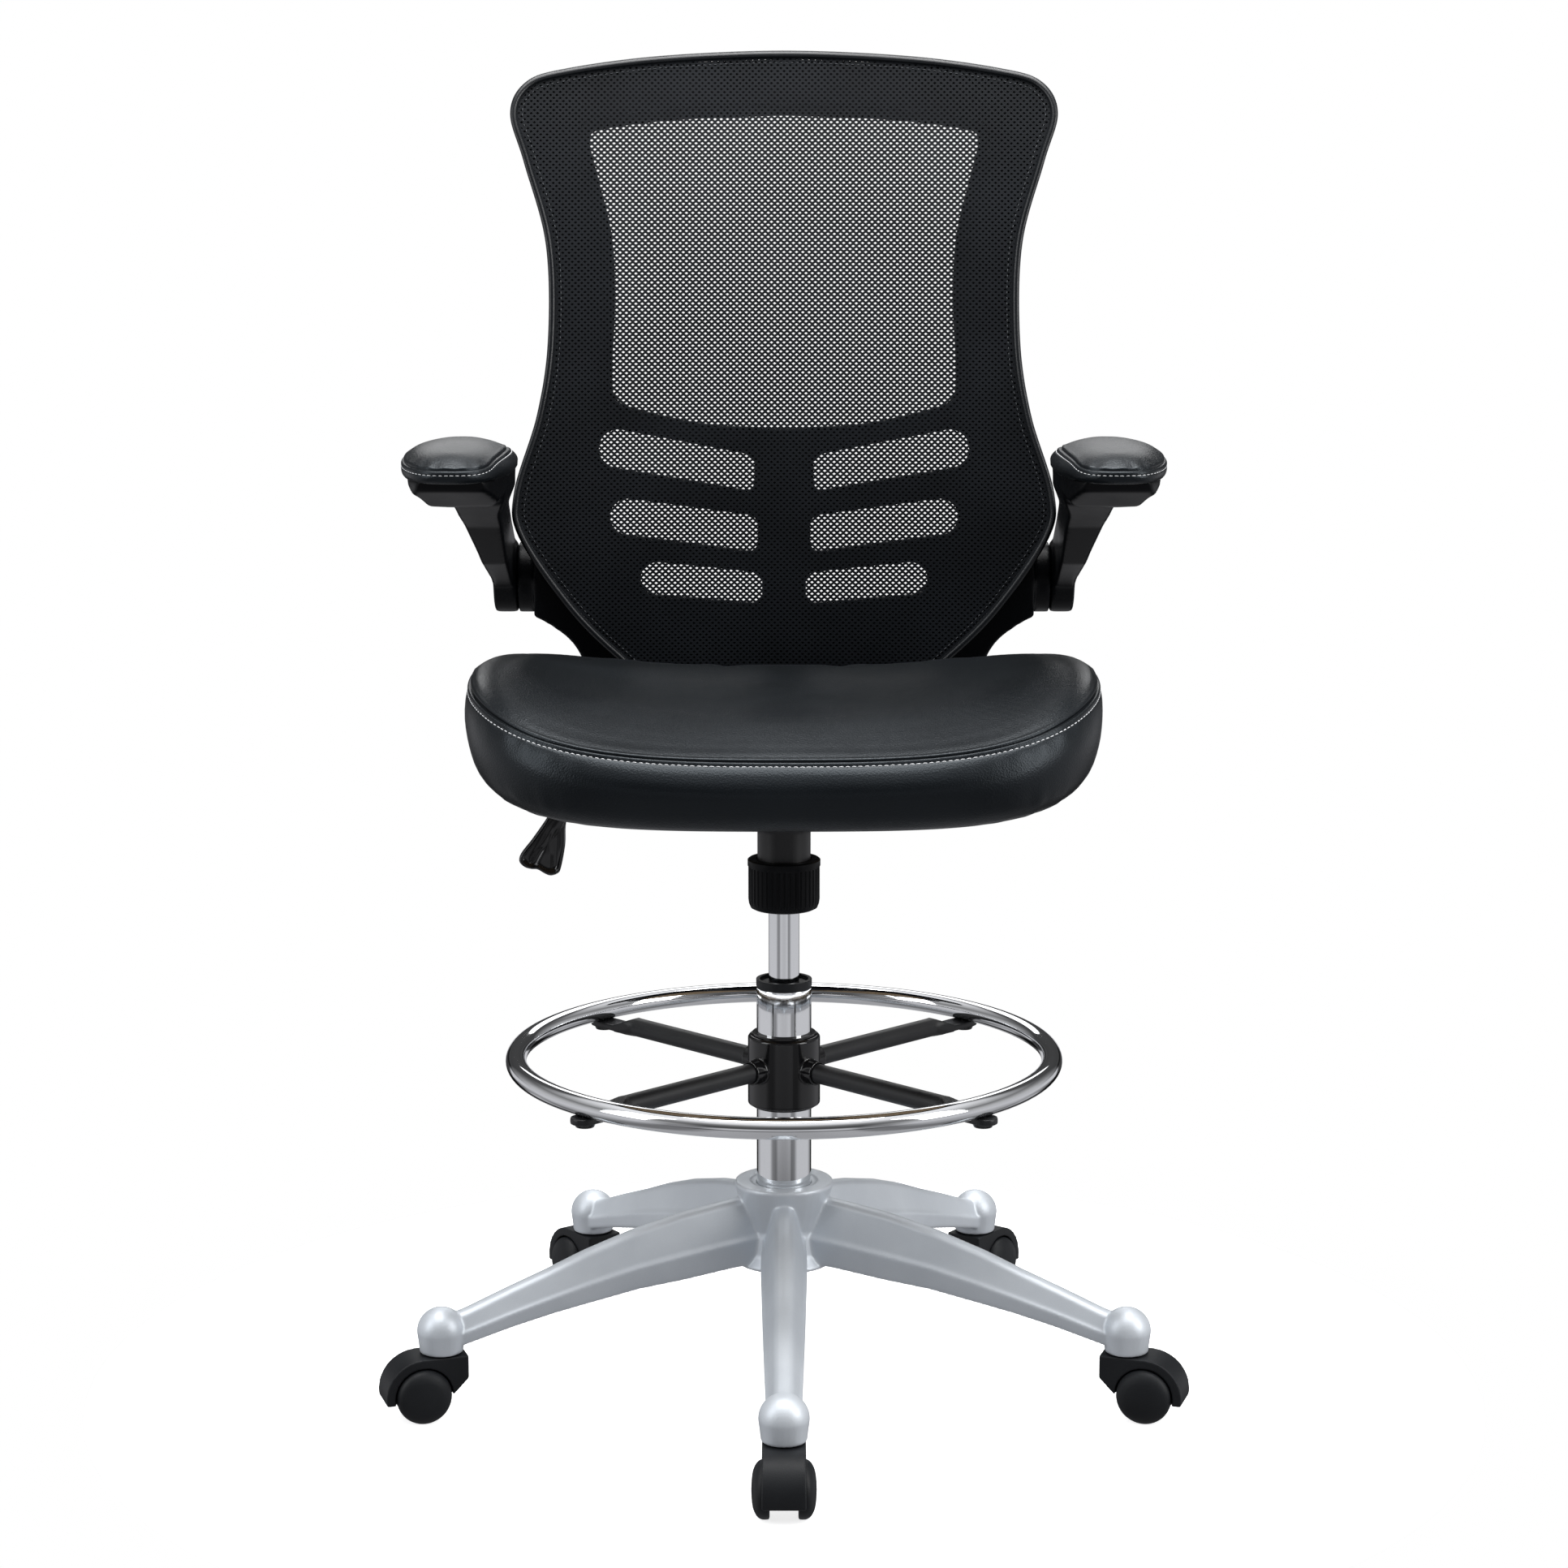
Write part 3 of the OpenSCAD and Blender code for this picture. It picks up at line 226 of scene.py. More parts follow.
def recalc_normals(made):
    work = bmesh.new()
    work.from_mesh(made.data)
    bmesh.ops.recalc_face_normals(work, faces=work.faces)
    work.to_mesh(made.data)
    work.free()


def path_distance(points):
    """Distance along a path, at each of its points."""
    return np.concatenate([[0], np.cumsum(np.linalg.norm(np.diff(points, axis=0), axis=1))])


def read_path(at, along, points):
    """The points of a path at some distances along it."""
    return np.stack([np.interp(at, along, points[:, k]) for k in range(points.shape[1])], -1)


def smooth_curve(neighbours, steps):
    """A Catmull-Rom curve, from four points in a row for each of its stretches."""
    t = (np.arange(steps) / steps)[None, :, None]
    a, b, c, d = (p[:, None, :] for p in neighbours)
    curve = 0.5 * (2 * b + (c - a) * t + (2 * a - 5 * b + 4 * c - d) * t**2 + (3 * b - a - 3 * c + d) * t**3)
    return curve.reshape(-1, curve.shape[-1])


def smooth_loop(points, steps):
    """A closed smooth curve through the points."""
    p = np.asarray(points, float)
    return smooth_curve([np.roll(p, k, 0) for k in (1, 0, -1, -2)], steps)


def smooth_open(points, steps):
    """An open smooth curve through the points, from the first to the last."""
    p = np.vstack([2 * points[0] - points[1], points, 2 * points[-1] - points[-2]])
    return np.vstack([smooth_curve([p[k: len(p) - 3 + k] for k in range(4)], steps), points[-1]])


def resample(loop, count):
    """Evenly spaced points round a closed loop."""
    p = np.vstack([loop, loop[:1]])
    along = path_distance(p)
    return read_path(np.linspace(0, along[-1], count + 1)[:-1], along, p)


def unit(vectors):
    return vectors / np.maximum(np.linalg.norm(vectors, axis=-1, keepdims=True), 1e-9)


def bell(distance, centre, width):
    return np.exp(-(((distance - centre) / width) ** 2))


def rounded_square(angle, power):
    """The place at an angle round a rounded square, across it and along it, each from -1 to 1."""
    return [math.copysign(abs(v) ** (2 / power), v) for v in (math.cos(angle), math.sin(angle))]


# One stitch: stations along it, and its thickness and its height above the surface at each.
STITCH_STATIONS = np.array([-0.5, -0.38, 0.0, 0.38, 0.5])
STITCH_THICKNESS = np.array([0.25, 0.8, 1.0, 0.8, 0.25])
STITCH_ARCH = np.array([-1.2, 0.3, 1.0, 0.3, -1.2])
STITCH_SIDES = 6
STITCH_DRIFT, STITCH_SPREAD = 0.02, 0.06


def thread_stitches(name, path, outward, material, body, pitch, share, width, lift, seed=5):
    """Single stitches of thread along a closed path on a surface, each a spindle pressed at its ends."""
    p = np.vstack([path, path[:1]])
    o = np.vstack([outward, outward[:1]])
    along = path_distance(p)
    count = int(along[-1] / pitch)
    random = np.random.default_rng(seed)
    starts = (np.arange(count) + 0.5) * along[-1] / count + random.normal(0, STITCH_DRIFT * pitch, count)
    radii = STITCH_THICKNESS * width / 2
    last = len(STITCH_STATIONS) - 1
    points, faces = [], []
    for start in starts:
        long = pitch * share * (1 + STITCH_SPREAD * random.normal())
        at = (start + STITCH_STATIONS * long) % along[-1]
        centre = read_path(at, along, p)
        up = unit(read_path(at, along, o))
        tangent = unit(centre[-1:] - centre[:1]).repeat(last + 1, 0)
        across = unit(np.cross(tangent, up))
        centre = centre + up * (lift * STITCH_ARCH)[:, None]
        base = len(points)
        for s in range(last + 1):
            for q in range(STITCH_SIDES):
                angle = 2 * math.pi * q / STITCH_SIDES
                points.append(centre[s] + radii[s] * (math.cos(angle) * across[s] + math.sin(angle) * up[s]))
        faces += [tuple(base + v for v in range(STITCH_SIDES))[::-1]]
        faces += [tuple(base + last * STITCH_SIDES + v for v in range(STITCH_SIDES))]
        faces += grid_faces(last + 1, STITCH_SIDES, base)
    made = make_object(name, points, faces, material)
    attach(made, body)
    return made


# ---------------------------------------------------------------- back: outline, mesh, lip

BACK_Y, LUMBAR_Z, LUMBAR_R, WRAP_R = 213.0, 790.0, 1250.0, 1040.0
BACK_HALF = [(0, 1215), (116, 1210), (203, 1198.5), (242, 1186), (257, 1157), (244, 1111), (223.5, 1036),
             (221.5, 948), (232, 878), (254, 806), (250, 763), (206, 694), (160, 644), (112, 606), (0, 598)]
WINDOW_HALF = [(0, 1154), (100, 1150), (172, 1141), (183, 1131), (176, 1100), (162.5, 1045), (159, 985),
               (162, 918), (159, 893), (140, 882), (72, 867), (0, 863)]
# Each slot: its inner end's x and z at the top and at the bottom, then its round end's centre and radius.
SLOTS = [(28, 838, 28, 804, 157, 844.5, 18),
         (25, 780, 25, 746, 148, 780, 17),
         (21, 725.5, 21, 696, 121, 720.5, 15.5)]
SLOT_CORNER, SLOT_ARC_STEP = 5, 15


def back_point(x, z, depth):
    """A point on the back, at a depth behind its front surface."""
    r = WRAP_R + LUMBAR_R - np.sqrt((LUMBAR_R - depth) ** 2 - (z - LUMBAR_Z) ** 2)
    return np.stack(np.broadcast_arrays(x, BACK_Y - WRAP_R + np.sqrt(r * r - x * x), z), -1)


def mirrored(half):
    return half + [(-x, z) for x, z in half[-2:0:-1]]


def slot_loop(top_x, top_z, low_x, low_z, end_x, end_z, end_r):
    """One slot of the back, its outer end round."""
    top = [(top_x, top_z - SLOT_CORNER), (top_x + SLOT_CORNER, top_z)]
    arc = [(end_x + end_r * math.sin(math.radians(a)), end_z + end_r * math.cos(math.radians(a)))
           for a in range(0, 181, SLOT_ARC_STEP)]
    low = [(low_x + SLOT_CORNER, low_z), (low_x, low_z + SLOT_CORNER)]
    return np.array(top + arc + low, float)


def distance_inside(points, loop):
    """Signed distance of points to a closed loop in the plane, negative inside."""
    a, b = loop, np.roll(loop, -1, 0)
    edge = b - a
    offset = points[:, None, :] - a[None]
    t = np.clip((offset * edge).sum(-1) / np.maximum((edge**2).sum(-1), 1e-9), 0, 1)
    away = np.linalg.norm(offset - t[..., None] * edge, axis=-1).min(1)
    crossing = (a[None, :, 1] > points[:, None, 1]) != (b[None, :, 1] > points[:, None, 1])
    slope = np.where(np.abs(edge[:, 1]) < 1e-9, 1e-9, edge[:, 1])
    at = a[:, 0] + (points[:, None, 1] - a[:, 1]) * edge[:, 0] / slope
    inside = (crossing & (points[:, None, 0] < at)).sum(1) % 2 == 1
    return np.where(inside, -away, away)


def signed_area(loop):
    x, z = loop.T
    return 0.5 * np.sum(x * np.roll(z, -1) - np.roll(x, -1) * z)


def inward_normals(loop):
    tangent = unit(np.roll(loop, -1, 0) - np.roll(loop, 1, 0))
    normal = np.stack([-tangent[:, 1], tangent[:, 0]], -1)
    return normal if signed_area(loop) > 0 else -normal


outline = resample(smooth_loop(mirrored(BACK_HALF), 12), 640)
window = resample(smooth_loop(mirrored(WINDOW_HALF), 12), 360)
slot_loops = []
for slot_row in SLOTS:
    right_loop = slot_loop(*slot_row)
    slot_loops += [right_loop, right_loop * np.array([-1, 1])]

# The knit's lattice: spacing of its crossings, their half sizes, and where it starts and stops.
PITCH_X, PITCH_Z = 2.965, 2.8
NODE_X, NODE_Z = 1.33, 1.7
COLUMNS_EACH_SIDE, KNIT_LOW, KNIT_HIGH = 90, 590, 1222
KNIT_INSET, OPENING_MARGIN = 3.5, 4.5
KNIT_FRONT, KNIT_REAR = 0.4, 1.3


def build_back_mesh():
    """The knitted mesh: a lattice of real diamond holes, stretched over the back's curved surface."""
    columns = np.arange(-COLUMNS_EACH_SIDE, COLUMNS_EACH_SIDE + 1)
    rows = np.arange(int(KNIT_LOW / PITCH_Z), int(KNIT_HIGH / PITCH_Z))
    i, j = (v.ravel() for v in np.meshgrid(columns, rows, indexing="ij"))
    even = (i + j) % 2 == 0
    i, j = i[even], j[even]
    centre = np.stack([i * PITCH_X, j * PITCH_Z], -1)
    keep = distance_inside(centre, outline[::4]) < -KNIT_INSET
    i, j, centre = i[keep], j[keep], centre[keep]
    opening = np.minimum.reduce([distance_inside(centre, loop) for loop in [window[::4], *slot_loops]])
    thick = opening < OPENING_MARGIN
    index = {(a, b): n for n, (a, b) in enumerate(zip(i.tolist(), j.tolist()))}
    corners = np.array([(NODE_X, 0), (0, NODE_Z), (-NODE_X, 0), (0, -NODE_Z)])
    flat = (centre[:, None, :] + corners).reshape(-1, 2)
    front = back_point(flat[:, 0], flat[:, 1], KNIT_FRONT)
    rear = back_point(flat[:, 0], flat[:, 1], KNIT_REAR)
    total = len(front)
    quads, solid = [], []
    for (a, b), n in index.items():
        quads.append((4 * n, 4 * n + 1, 4 * n + 2, 4 * n + 3))
        solid.append(thick[n])
        m = index.get((a + 1, b + 1))
        if m is not None:
            quads.append((4 * n, 4 * m + 3, 4 * m + 2, 4 * n + 1))
            solid.append(thick[n] and thick[m])
        m = index.get((a - 1, b + 1))
        if m is not None:
            quads.append((4 * n + 1, 4 * m, 4 * m + 3, 4 * n + 2))
            solid.append(thick[n] and thick[m])
    edges = {}
    for quad, is_solid in zip(quads, solid):
        if is_solid:
            for p, q in zip(quad, quad[1:] + quad[:1]):
                key = (min(p, q), max(p, q))
                edges[key] = None if key in edges else (p, q)
    faces = list(quads)
    faces += [tuple(v + total for v in quad[::-1]) for quad, is_solid in zip(quads, solid) if is_solid]
    faces += [(q, p, p + total, q + total) for p, q in (e for e in edges.values() if e)]
    used = sorted({v for face in faces for v in face})
    renumber = {v: n for n, v in enumerate(used)}
    points = np.vstack([front, rear])[used]
    faces = [tuple(renumber[v] for v in face) for face in faces]
    return make_object("knitted_mesh", points, faces, weave, smooth=False)


def swept_on_back(name, loop, profile, material):
    """A closed profile of (inset, depth) carried round a loop on the back."""
    normal = inward_normals(loop)
    rows = []
    for inset, depth in profile:
        flat = loop + normal * inset
        rows.append(back_point(flat[:, 0], flat[:, 1], depth))
    points = np.concatenate(rows)
    cols = len(loop)
    faces = grid_faces(len(profile), cols)
    last = (len(profile) - 1) * cols
    faces += [(last + k, last + (k + 1) % cols, (k + 1) % cols, k) for k in range(cols)]
    return make_object(name, points, faces, material)


knit = build_back_mesh()
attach(knit, "seat")
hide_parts("back_mesh")

LIP = [(8.2, 12.5), (8.4, 6.0), (8.4, 1.6), (7.6, 0.6), (6.9, 0.2), (6.6, -0.8), (6.0, -2.0), (4.8, -2.8),
       (3.3, -3.0), (1.8, -2.4), (0.7, -1.0), (0.1, 1.2), (0.0, 4.5), (0.1, 8.5), (0.7, 11.5), (2.0, 13.6),
       (4.0, 14.5), (6.6, 14.2)]
lip = swept_on_back("back_lip", outline, LIP, piping)
recalc_normals(lip)
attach(lip, "seat")
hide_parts("back_trim")

STITCH_INSET, WINDOW_STITCH_OUT, BACK_STITCH = 11.5, 11.0, 5.2
outline_in = outline + inward_normals(outline) * STITCH_INSET
stitch_path = back_point(outline_in[:, 0], outline_in[:, 1], 0.25)
forward = np.tile(np.array([0.0, -1.0, 0.0]), (len(outline), 1))
back_stitches = thread_stitches("back_stitching", stitch_path, forward, grey_thread, "seat",
                                pitch=BACK_STITCH, share=0.5, width=0.75, lift=0.12)
window_out = window - inward_normals(window) * WINDOW_STITCH_OUT
window_path = back_point(window_out[:, 0], window_out[:, 1], 0.3)
window_stitches = thread_stitches("window_stitching", window_path, forward[: len(window)], weave, "seat",
                                  pitch=BACK_STITCH, share=0.4, width=0.5, lift=0.05, seed=9)

# ---------------------------------------------------------------- upholstery


SWELL_FRAMES = 20


def swell(name, grid, held_rows, cap):
    """Cloth simulation on a closed grid of rows round a pad. It gives each point's movement, in mm."""
    rows, cols = grid.shape[:2]
    points, faces = capped(grid)
    soft = make_object(name, points, faces, leather)
    group = soft.vertex_groups.new(name="held")
    underside = rows * cols
    group.add([row * cols + k for row in held_rows for k in range(cols)] + [underside], 1.0, "REPLACE")
    cloth = soft.modifiers.new("Cloth", "CLOTH")
    cloth.settings.quality = 6
    cloth.settings.mass = 0.3
    cloth.settings.tension_stiffness = 25
    cloth.settings.compression_stiffness = 25
    cloth.settings.shear_stiffness = 12
    cloth.settings.bending_stiffness = 1.5
    cloth.settings.use_pressure = True
    cloth.settings.uniform_pressure_force = 4.0
    cloth.settings.effector_weights.gravity = 0
    cloth.settings.vertex_group_mass = "held"
    cloth.settings.pin_stiffness = 1.0
    for step in range(1, SWELL_FRAMES + 1):
        scene.frame_set(step)
    settled = soft.evaluated_get(bpy.context.evaluated_depsgraph_get())
    co = np.empty(len(points) * 3, np.float32)
    settled.data.vertices.foreach_get("co", co)
    moved = co.reshape(-1, 3) / MM - points
    scene.frame_set(1)
    bpy.data.objects.remove(soft)
    size = np.linalg.norm(moved, axis=1, keepdims=True)
    moved = moved * np.minimum(1, cap / np.maximum(size, 1e-6))
    return moved[: rows * cols].reshape(rows, cols, 3)


def spread(values, rows_at, cols_count, at):
    """Values of a coarse closed grid, read at other rows (0 to 1) and evenly spaced columns."""
    coarse = values.shape[1]
    wrapped = np.concatenate([values, values[:, :1]], 1)
    where = np.arange(cols_count) * coarse / cols_count
    low = np.floor(where).astype(int)
    f = (where - low)[None, :, None]
    f = f * f * (3 - 2 * f)
    by_col = wrapped[:, low] * (1 - f) + wrapped[:, low + 1] * f
    out = np.empty((len(at), cols_count, 3))
    for k in range(3):
        for c in range(cols_count):
            out[:, c, k] = np.interp(at, rows_at, by_col[:, c, k])
    return out


# Steps from ring to ring of a profile; a swelled pad's columns, and the share of its profile that it covers.
RING_STEPS, SIM_COLS, SIM_TOP = 16, 96, 0.985


def panel_rows(down, up, near, far_down, far_up):
    """Distances along a profile from its seam: close together near the seam, even further out."""
    below = np.concatenate([-near, -(near[-1] + (down - near[-1]) * far_down)])[::-1]
    above = np.concatenate([near[1:], near[-1] + (up - near[-1]) * far_up])
    return np.concatenate([below[:-1], [0.0], above])


def upholster(name, profile, seam_at, detail, cols, near, far_down, far_up, sim_rows, cap):
    """A leather pad: its profile at each angle, swelled by cloth simulation, then seamed and creased."""
    curves, seams, lengths = [], [], []
    for angle in np.arange(cols) * 2 * math.pi / cols:
        curve = profile(angle)
        along = path_distance(curve)
        curves.append((curve, along))
        seams.append(seam_at(angle, along))
        lengths.append(along[-1])
    seams, lengths = np.array(seams), np.array(lengths)

    def sample(c, at):
        curve, along = curves[c]
        return read_path(at, along, curve)

    rows = [panel_rows(seams[c], lengths[c] - seams[c], near, far_down, far_up) for c in range(cols)]
    grid = np.stack([sample(c, seams[c] + rows[c]) for c in range(cols)], 1)
    split = int(np.argmin(np.abs(rows[0])))
    # Each row's place: 0 under the pad, 0.5 at the seam, 1 at the middle of the top.
    shares = np.stack([np.where(rows[c] < 0, 0.5 + 0.5 * rows[c] / seams[c],
                                0.5 + 0.5 * rows[c] / (lengths[c] - seams[c])) for c in range(cols)], 1)
    chosen = range(0, cols, max(1, cols // SIM_COLS))
    levels = np.concatenate([np.linspace(0, 0.5, sim_rows + 1),
                             np.linspace(0.5, SIM_TOP, sim_rows + 4)[1:]])
    coarse = np.stack([sample(c, np.where(levels < 0.5, levels * 2 * seams[c],
                                          seams[c] + (levels - 0.5) * 2 * (lengths[c] - seams[c])))
                       for c in chosen], 1)
    moved = swell(name + "_sim", coarse, (0, 1, sim_rows), cap)
    grid = grid + spread(moved, levels, cols, shares.mean(1))
    across = np.roll(grid, -1, 1) - np.roll(grid, 1, 1)
    upward = np.gradient(grid, axis=0)
    outward = unit(np.cross(across, upward))
    distance = np.stack(rows, 1)
    around = np.cumsum(np.linalg.norm(np.diff(grid[split], axis=0, append=grid[split][:1]), axis=1))
    grid = grid + outward * detail(distance, around[None, :], grid)[..., None]
    points, faces = capped(grid)
    return points, faces, grid, outward, distance


def at_distance(grid, values, distance, wanted):
    """Points and values of a pad along the line at a distance from its seam."""
    cols = np.arange(grid.shape[1])
    rows = np.arange(len(distance))
    place = np.array([np.interp(wanted, distance[:, c], rows) for c in cols])
    low = np.floor(place).astype(int)
    f = (place - low)[:, None]
    return (grid[low, cols] * (1 - f) + grid[low + 1, cols] * f,
            values[low, cols] * (1 - f) + values[low + 1, cols] * f)


def ring_reach(share, half_length, half_width, core):
    """How far along a pad each ring reaches: an even rim outside the core, closing to a point inside it."""
    rim = half_length - half_width * (1 - share)
    middle = (half_length - half_width * (1 - core)) * share / core
    return np.where(share > core, rim, middle)


def seam_form(distance, form):
    """The dips and swells beside a seam: (height, distance from the seam, width) of each."""
    return sum(height * bell(distance, centre, width) for height, centre, width in form)


# ---------------------------------------------------------------- seat cushion

SEAT_Y, SEAT_HALF_W, SEAT_HALF_D, SEAT_BOTTOM = -20.0, 281.0, 228.0, 563.0
SEAT_POWER, SEAT_TAPER, SEAT_CORE = 3.1, 0.07, 0.4
SIDE_RISE, SIDE_POWER, SIDE_FADE, FRONT_DROP, REAR_RISE = 42.0, 2.6, 0.75, 22.0, 4.5
SIDE_CURL, FRONT_CURL = 24.0, 4.0
# Rings from the pan's pocket round the rim and over the top: share of the half width, height, share of rise.
SEAT_RINGS = np.array([(0.845, 25, 0), (0.846, 3, 0), (0.87, 0, 0), (0.925, 2, 0), (0.968, 12, 0),
                       (0.99, 27, 0.1), (1, 44, 0.4), (0.995, 57, 0.75), (0.975, 68, 0.95), (0.94, 74, 1),
                       (0.87, 78, 1), (0.7, 80, 1), (0.4, 80, 1), (0.1, 80, 1), (0.0, 80, 1)])
SEAT_SEAM_RING, SEAT_SEAM_SHIFT = 7.6, 1.5
SEAT_SEAM_FORM = [(-2.3, 0, 1.0), (1.1, -2.9, 1.7), (0.7, 2.8, 2.2)]
SEAT_STITCH_LINE, SEAT_PUCKER = -6.2, 5.3
CORNER_X, CORNER_Y, CORNER_SIZE = 215, -185, 60
FOLD_Z, FOLD_HEIGHT, FOLD_DEPTH = 578, 16, 0.35
DENT_DEPTH, DENT_START = 0.5, 60
SEAT_NEAR = np.array([0, 0.45, 0.9, 1.4, 2.0, 2.7, 3.5, 4.4, 5.2, 5.7, 6.2, 6.7, 7.4, 8.6, 10.5, 13, 16])
seat_curve = smooth_open(SEAT_RINGS, RING_STEPS)


def seat_profile(angle):
    """The cushion's section at an angle round it, from under its rim to the middle of its top."""
    across, deep = rounded_square(angle, SEAT_POWER)
    share, high, lift = seat_curve.T
    x = across * SEAT_HALF_W * share * (1 - SEAT_TAPER * max(0.0, deep))
    y = SEAT_Y + deep * ring_reach(share, SEAT_HALF_D, SEAT_HALF_W, SEAT_CORE)
    front = np.clip(-(y - SEAT_Y) / SEAT_HALF_D, 0, None)
    rear = np.clip((y - SEAT_Y) / SEAT_HALF_D, 0, None)
    side = np.abs(x) / SEAT_HALF_W
    bolster = SIDE_RISE * side**SIDE_POWER * (1 - SIDE_FADE * front**2)
    rise = bolster - FRONT_DROP * front**4 + REAR_RISE * rear**2
    curl = SIDE_CURL * side**6 - FRONT_CURL * front**3
    return np.stack([x, y, SEAT_BOTTOM + high + rise * lift + curl * (1 - lift)], -1)


def seat_seam(angle, along):
    """The seam runs round the shoulder, further in at the front than at the sides."""
    ring = SEAT_SEAM_RING + SEAT_SEAM_SHIFT * max(0.0, -math.sin(angle)) ** 1.5
    return np.interp(ring * RING_STEPS, np.arange(len(along)), along)


def seat_detail(distance, around, grid):
    """The seam and its stitched line, folds at the front corners, and shallow dents in the top."""
    x, y, z = grid[..., 0], grid[..., 1], grid[..., 2]
    pucker = 0.5 + 0.5 * np.cos(2 * math.pi * around / SEAT_PUCKER)
    out = seam_form(distance, SEAT_SEAM_FORM)
    out += -(0.35 + 0.25 * pucker) * bell(distance, SEAT_STITCH_LINE, 0.8)
    corner = bell(np.abs(x), CORNER_X, CORNER_SIZE) * bell(y, CORNER_Y, CORNER_SIZE)
    folds = np.sin(around / 5.2 + 0.8 * np.sin(around / 21)) + 0.5 * np.sin(around / 2.9 + z / 9)
    out += FOLD_DEPTH * corner * bell(z, FOLD_Z, FOLD_HEIGHT) * folds
    out += FOLD_DEPTH * bell(distance, -10, 7) * corner * np.sin(around / 4.1)
    dents = np.sin(x / 61 + 1.3 * np.sin(y / 83)) * np.sin(y / 57 + np.sin(x / 97))
    out += DENT_DEPTH * dents * np.clip(distance / DENT_START, 0, 1)
    out += FOLD_DEPTH * np.sin(around / 33 + z / 17) * bell(distance, -28, 16)
    return out


seat_parts = upholster("seat_leather", seat_profile, seat_seam, seat_detail, cols=480, near=SEAT_NEAR,
                       far_down=np.linspace(0, 1, 19)[1:], far_up=np.linspace(0, 1, 40)[1:-1],
                       sim_rows=9, cap=5.0)
seat_points, seat_faces, seat_grid, seat_out, seat_distance = seat_parts
cushion = make_object("seat_leather", seat_points, seat_faces, leather)
recalc_normals(cushion)
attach(cushion, "seat")
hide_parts("seat_cushion")
line, out = at_distance(seat_grid, seat_out, seat_distance, SEAT_STITCH_LINE)
seat_stitches = thread_stitches("seat_stitching", line, out, white_thread, "seat",
                                pitch=5.4, share=0.74, width=0.92, lift=0.3)

# ---------------------------------------------------------------- arm pads

PAD_X, PAD_Y, PAD_HALF_W, PAD_HALF_L, PAD_BOTTOM, PAD_TOP = 287.0, 8.0, 50.0, 131.0, 843.0, 874.0
PAD_POWER, PAD_TAPER, PAD_CORE = 2.7, 0.14, 0.45
PAD_CROWN_Y, PAD_CROWN_DROP, PAD_CROWN_REACH, PAD_INNER_THIN = -20, 8.0, 100, 0.2
# Rings from the middle of the underside to the middle of the top: shares of half width and of height.
PAD_RINGS = np.array([(0.0, 0.055), (0.7, 0.055), (0.88, 0.05), (0.90, 0.0), (0.93, 0.02), (0.985, 0.14),
                      (1, 0.3), (0.985, 0.43), (0.93, 0.57), (0.84, 0.69), (0.7, 0.81), (0.5, 0.91),
                      (0.25, 0.98), (0.0, 1.0)])
PAD_SEAM_RING, PAD_SEAM_RISE = 6.35, 2.15
PAD_SEAM_FORM = [(-1.2, 5.2, 0.8), (0.5, 2.6, 1.6), (0.5, 7.6, 1.8)]
PAD_STITCH = 5.0
PAD_NEAR = np.array([0, 0.4, 0.8, 1.3, 2.0, 2.8, 3.6, 4.3, 4.8, 5.2, 5.6, 6.1, 6.8, 7.8, 9.2])
pad_curve = smooth_open(PAD_RINGS, RING_STEPS)


def pad_profile(angle):
    """The arm pad's section at an angle, from the middle of its underside to the middle of its top."""
    across, deep = rounded_square(angle, PAD_POWER)
    share = np.clip(pad_curve[:, 0], 0, None)
    x = PAD_X + across * PAD_HALF_W * share * (1 - PAD_TAPER * max(0.0, deep))
    y = PAD_Y + deep * ring_reach(share, PAD_HALF_L, PAD_HALF_W, PAD_CORE)
    inner = np.clip((PAD_X - x) / PAD_HALF_W, 0, None)
    drop = PAD_CROWN_DROP * ((y - PAD_CROWN_Y) / PAD_CROWN_REACH) ** 2
    thick = (PAD_TOP - PAD_BOTTOM - drop) * (1 - PAD_INNER_THIN * inner**2)
    return np.stack([x, y, PAD_BOTTOM + pad_curve[:, 1] * thick], -1)


def pad_seam(angle, along):
    """Low round the outer side and the front, rising in an S over the inner side."""
    turn = math.degrees(angle) % 360
    inner = 1 / (1 + math.exp(-(turn - 128) / 6)) - 1 / (1 + math.exp(-(turn - 228) / 7))
    ring = PAD_SEAM_RING + PAD_SEAM_RISE * inner
    return np.interp(ring * RING_STEPS, np.arange(len(along)), along)


def pad_detail(distance, around, grid):
    """The seam with its stitched line, small folds at the front, and a slight waviness of the top."""
    pucker = 0.5 + 0.5 * np.cos(2 * math.pi * around / PAD_STITCH)
    out = seam_form(distance, PAD_SEAM_FORM)
    out += -(0.3 + 0.2 * pucker) * bell(distance, 0, 0.8)
    front = bell(grid[..., 1], PAD_Y - PAD_HALF_L + 8, 26)
    out += 0.4 * front * bell(distance, 9, 4) * np.sin(around / 2.6 + 0.7 * np.sin(around / 11))
    out += 0.25 * np.sin(grid[..., 1] / 23 + grid[..., 0] / 31) * np.clip((distance - 12) / 20, 0, 1)
    return out


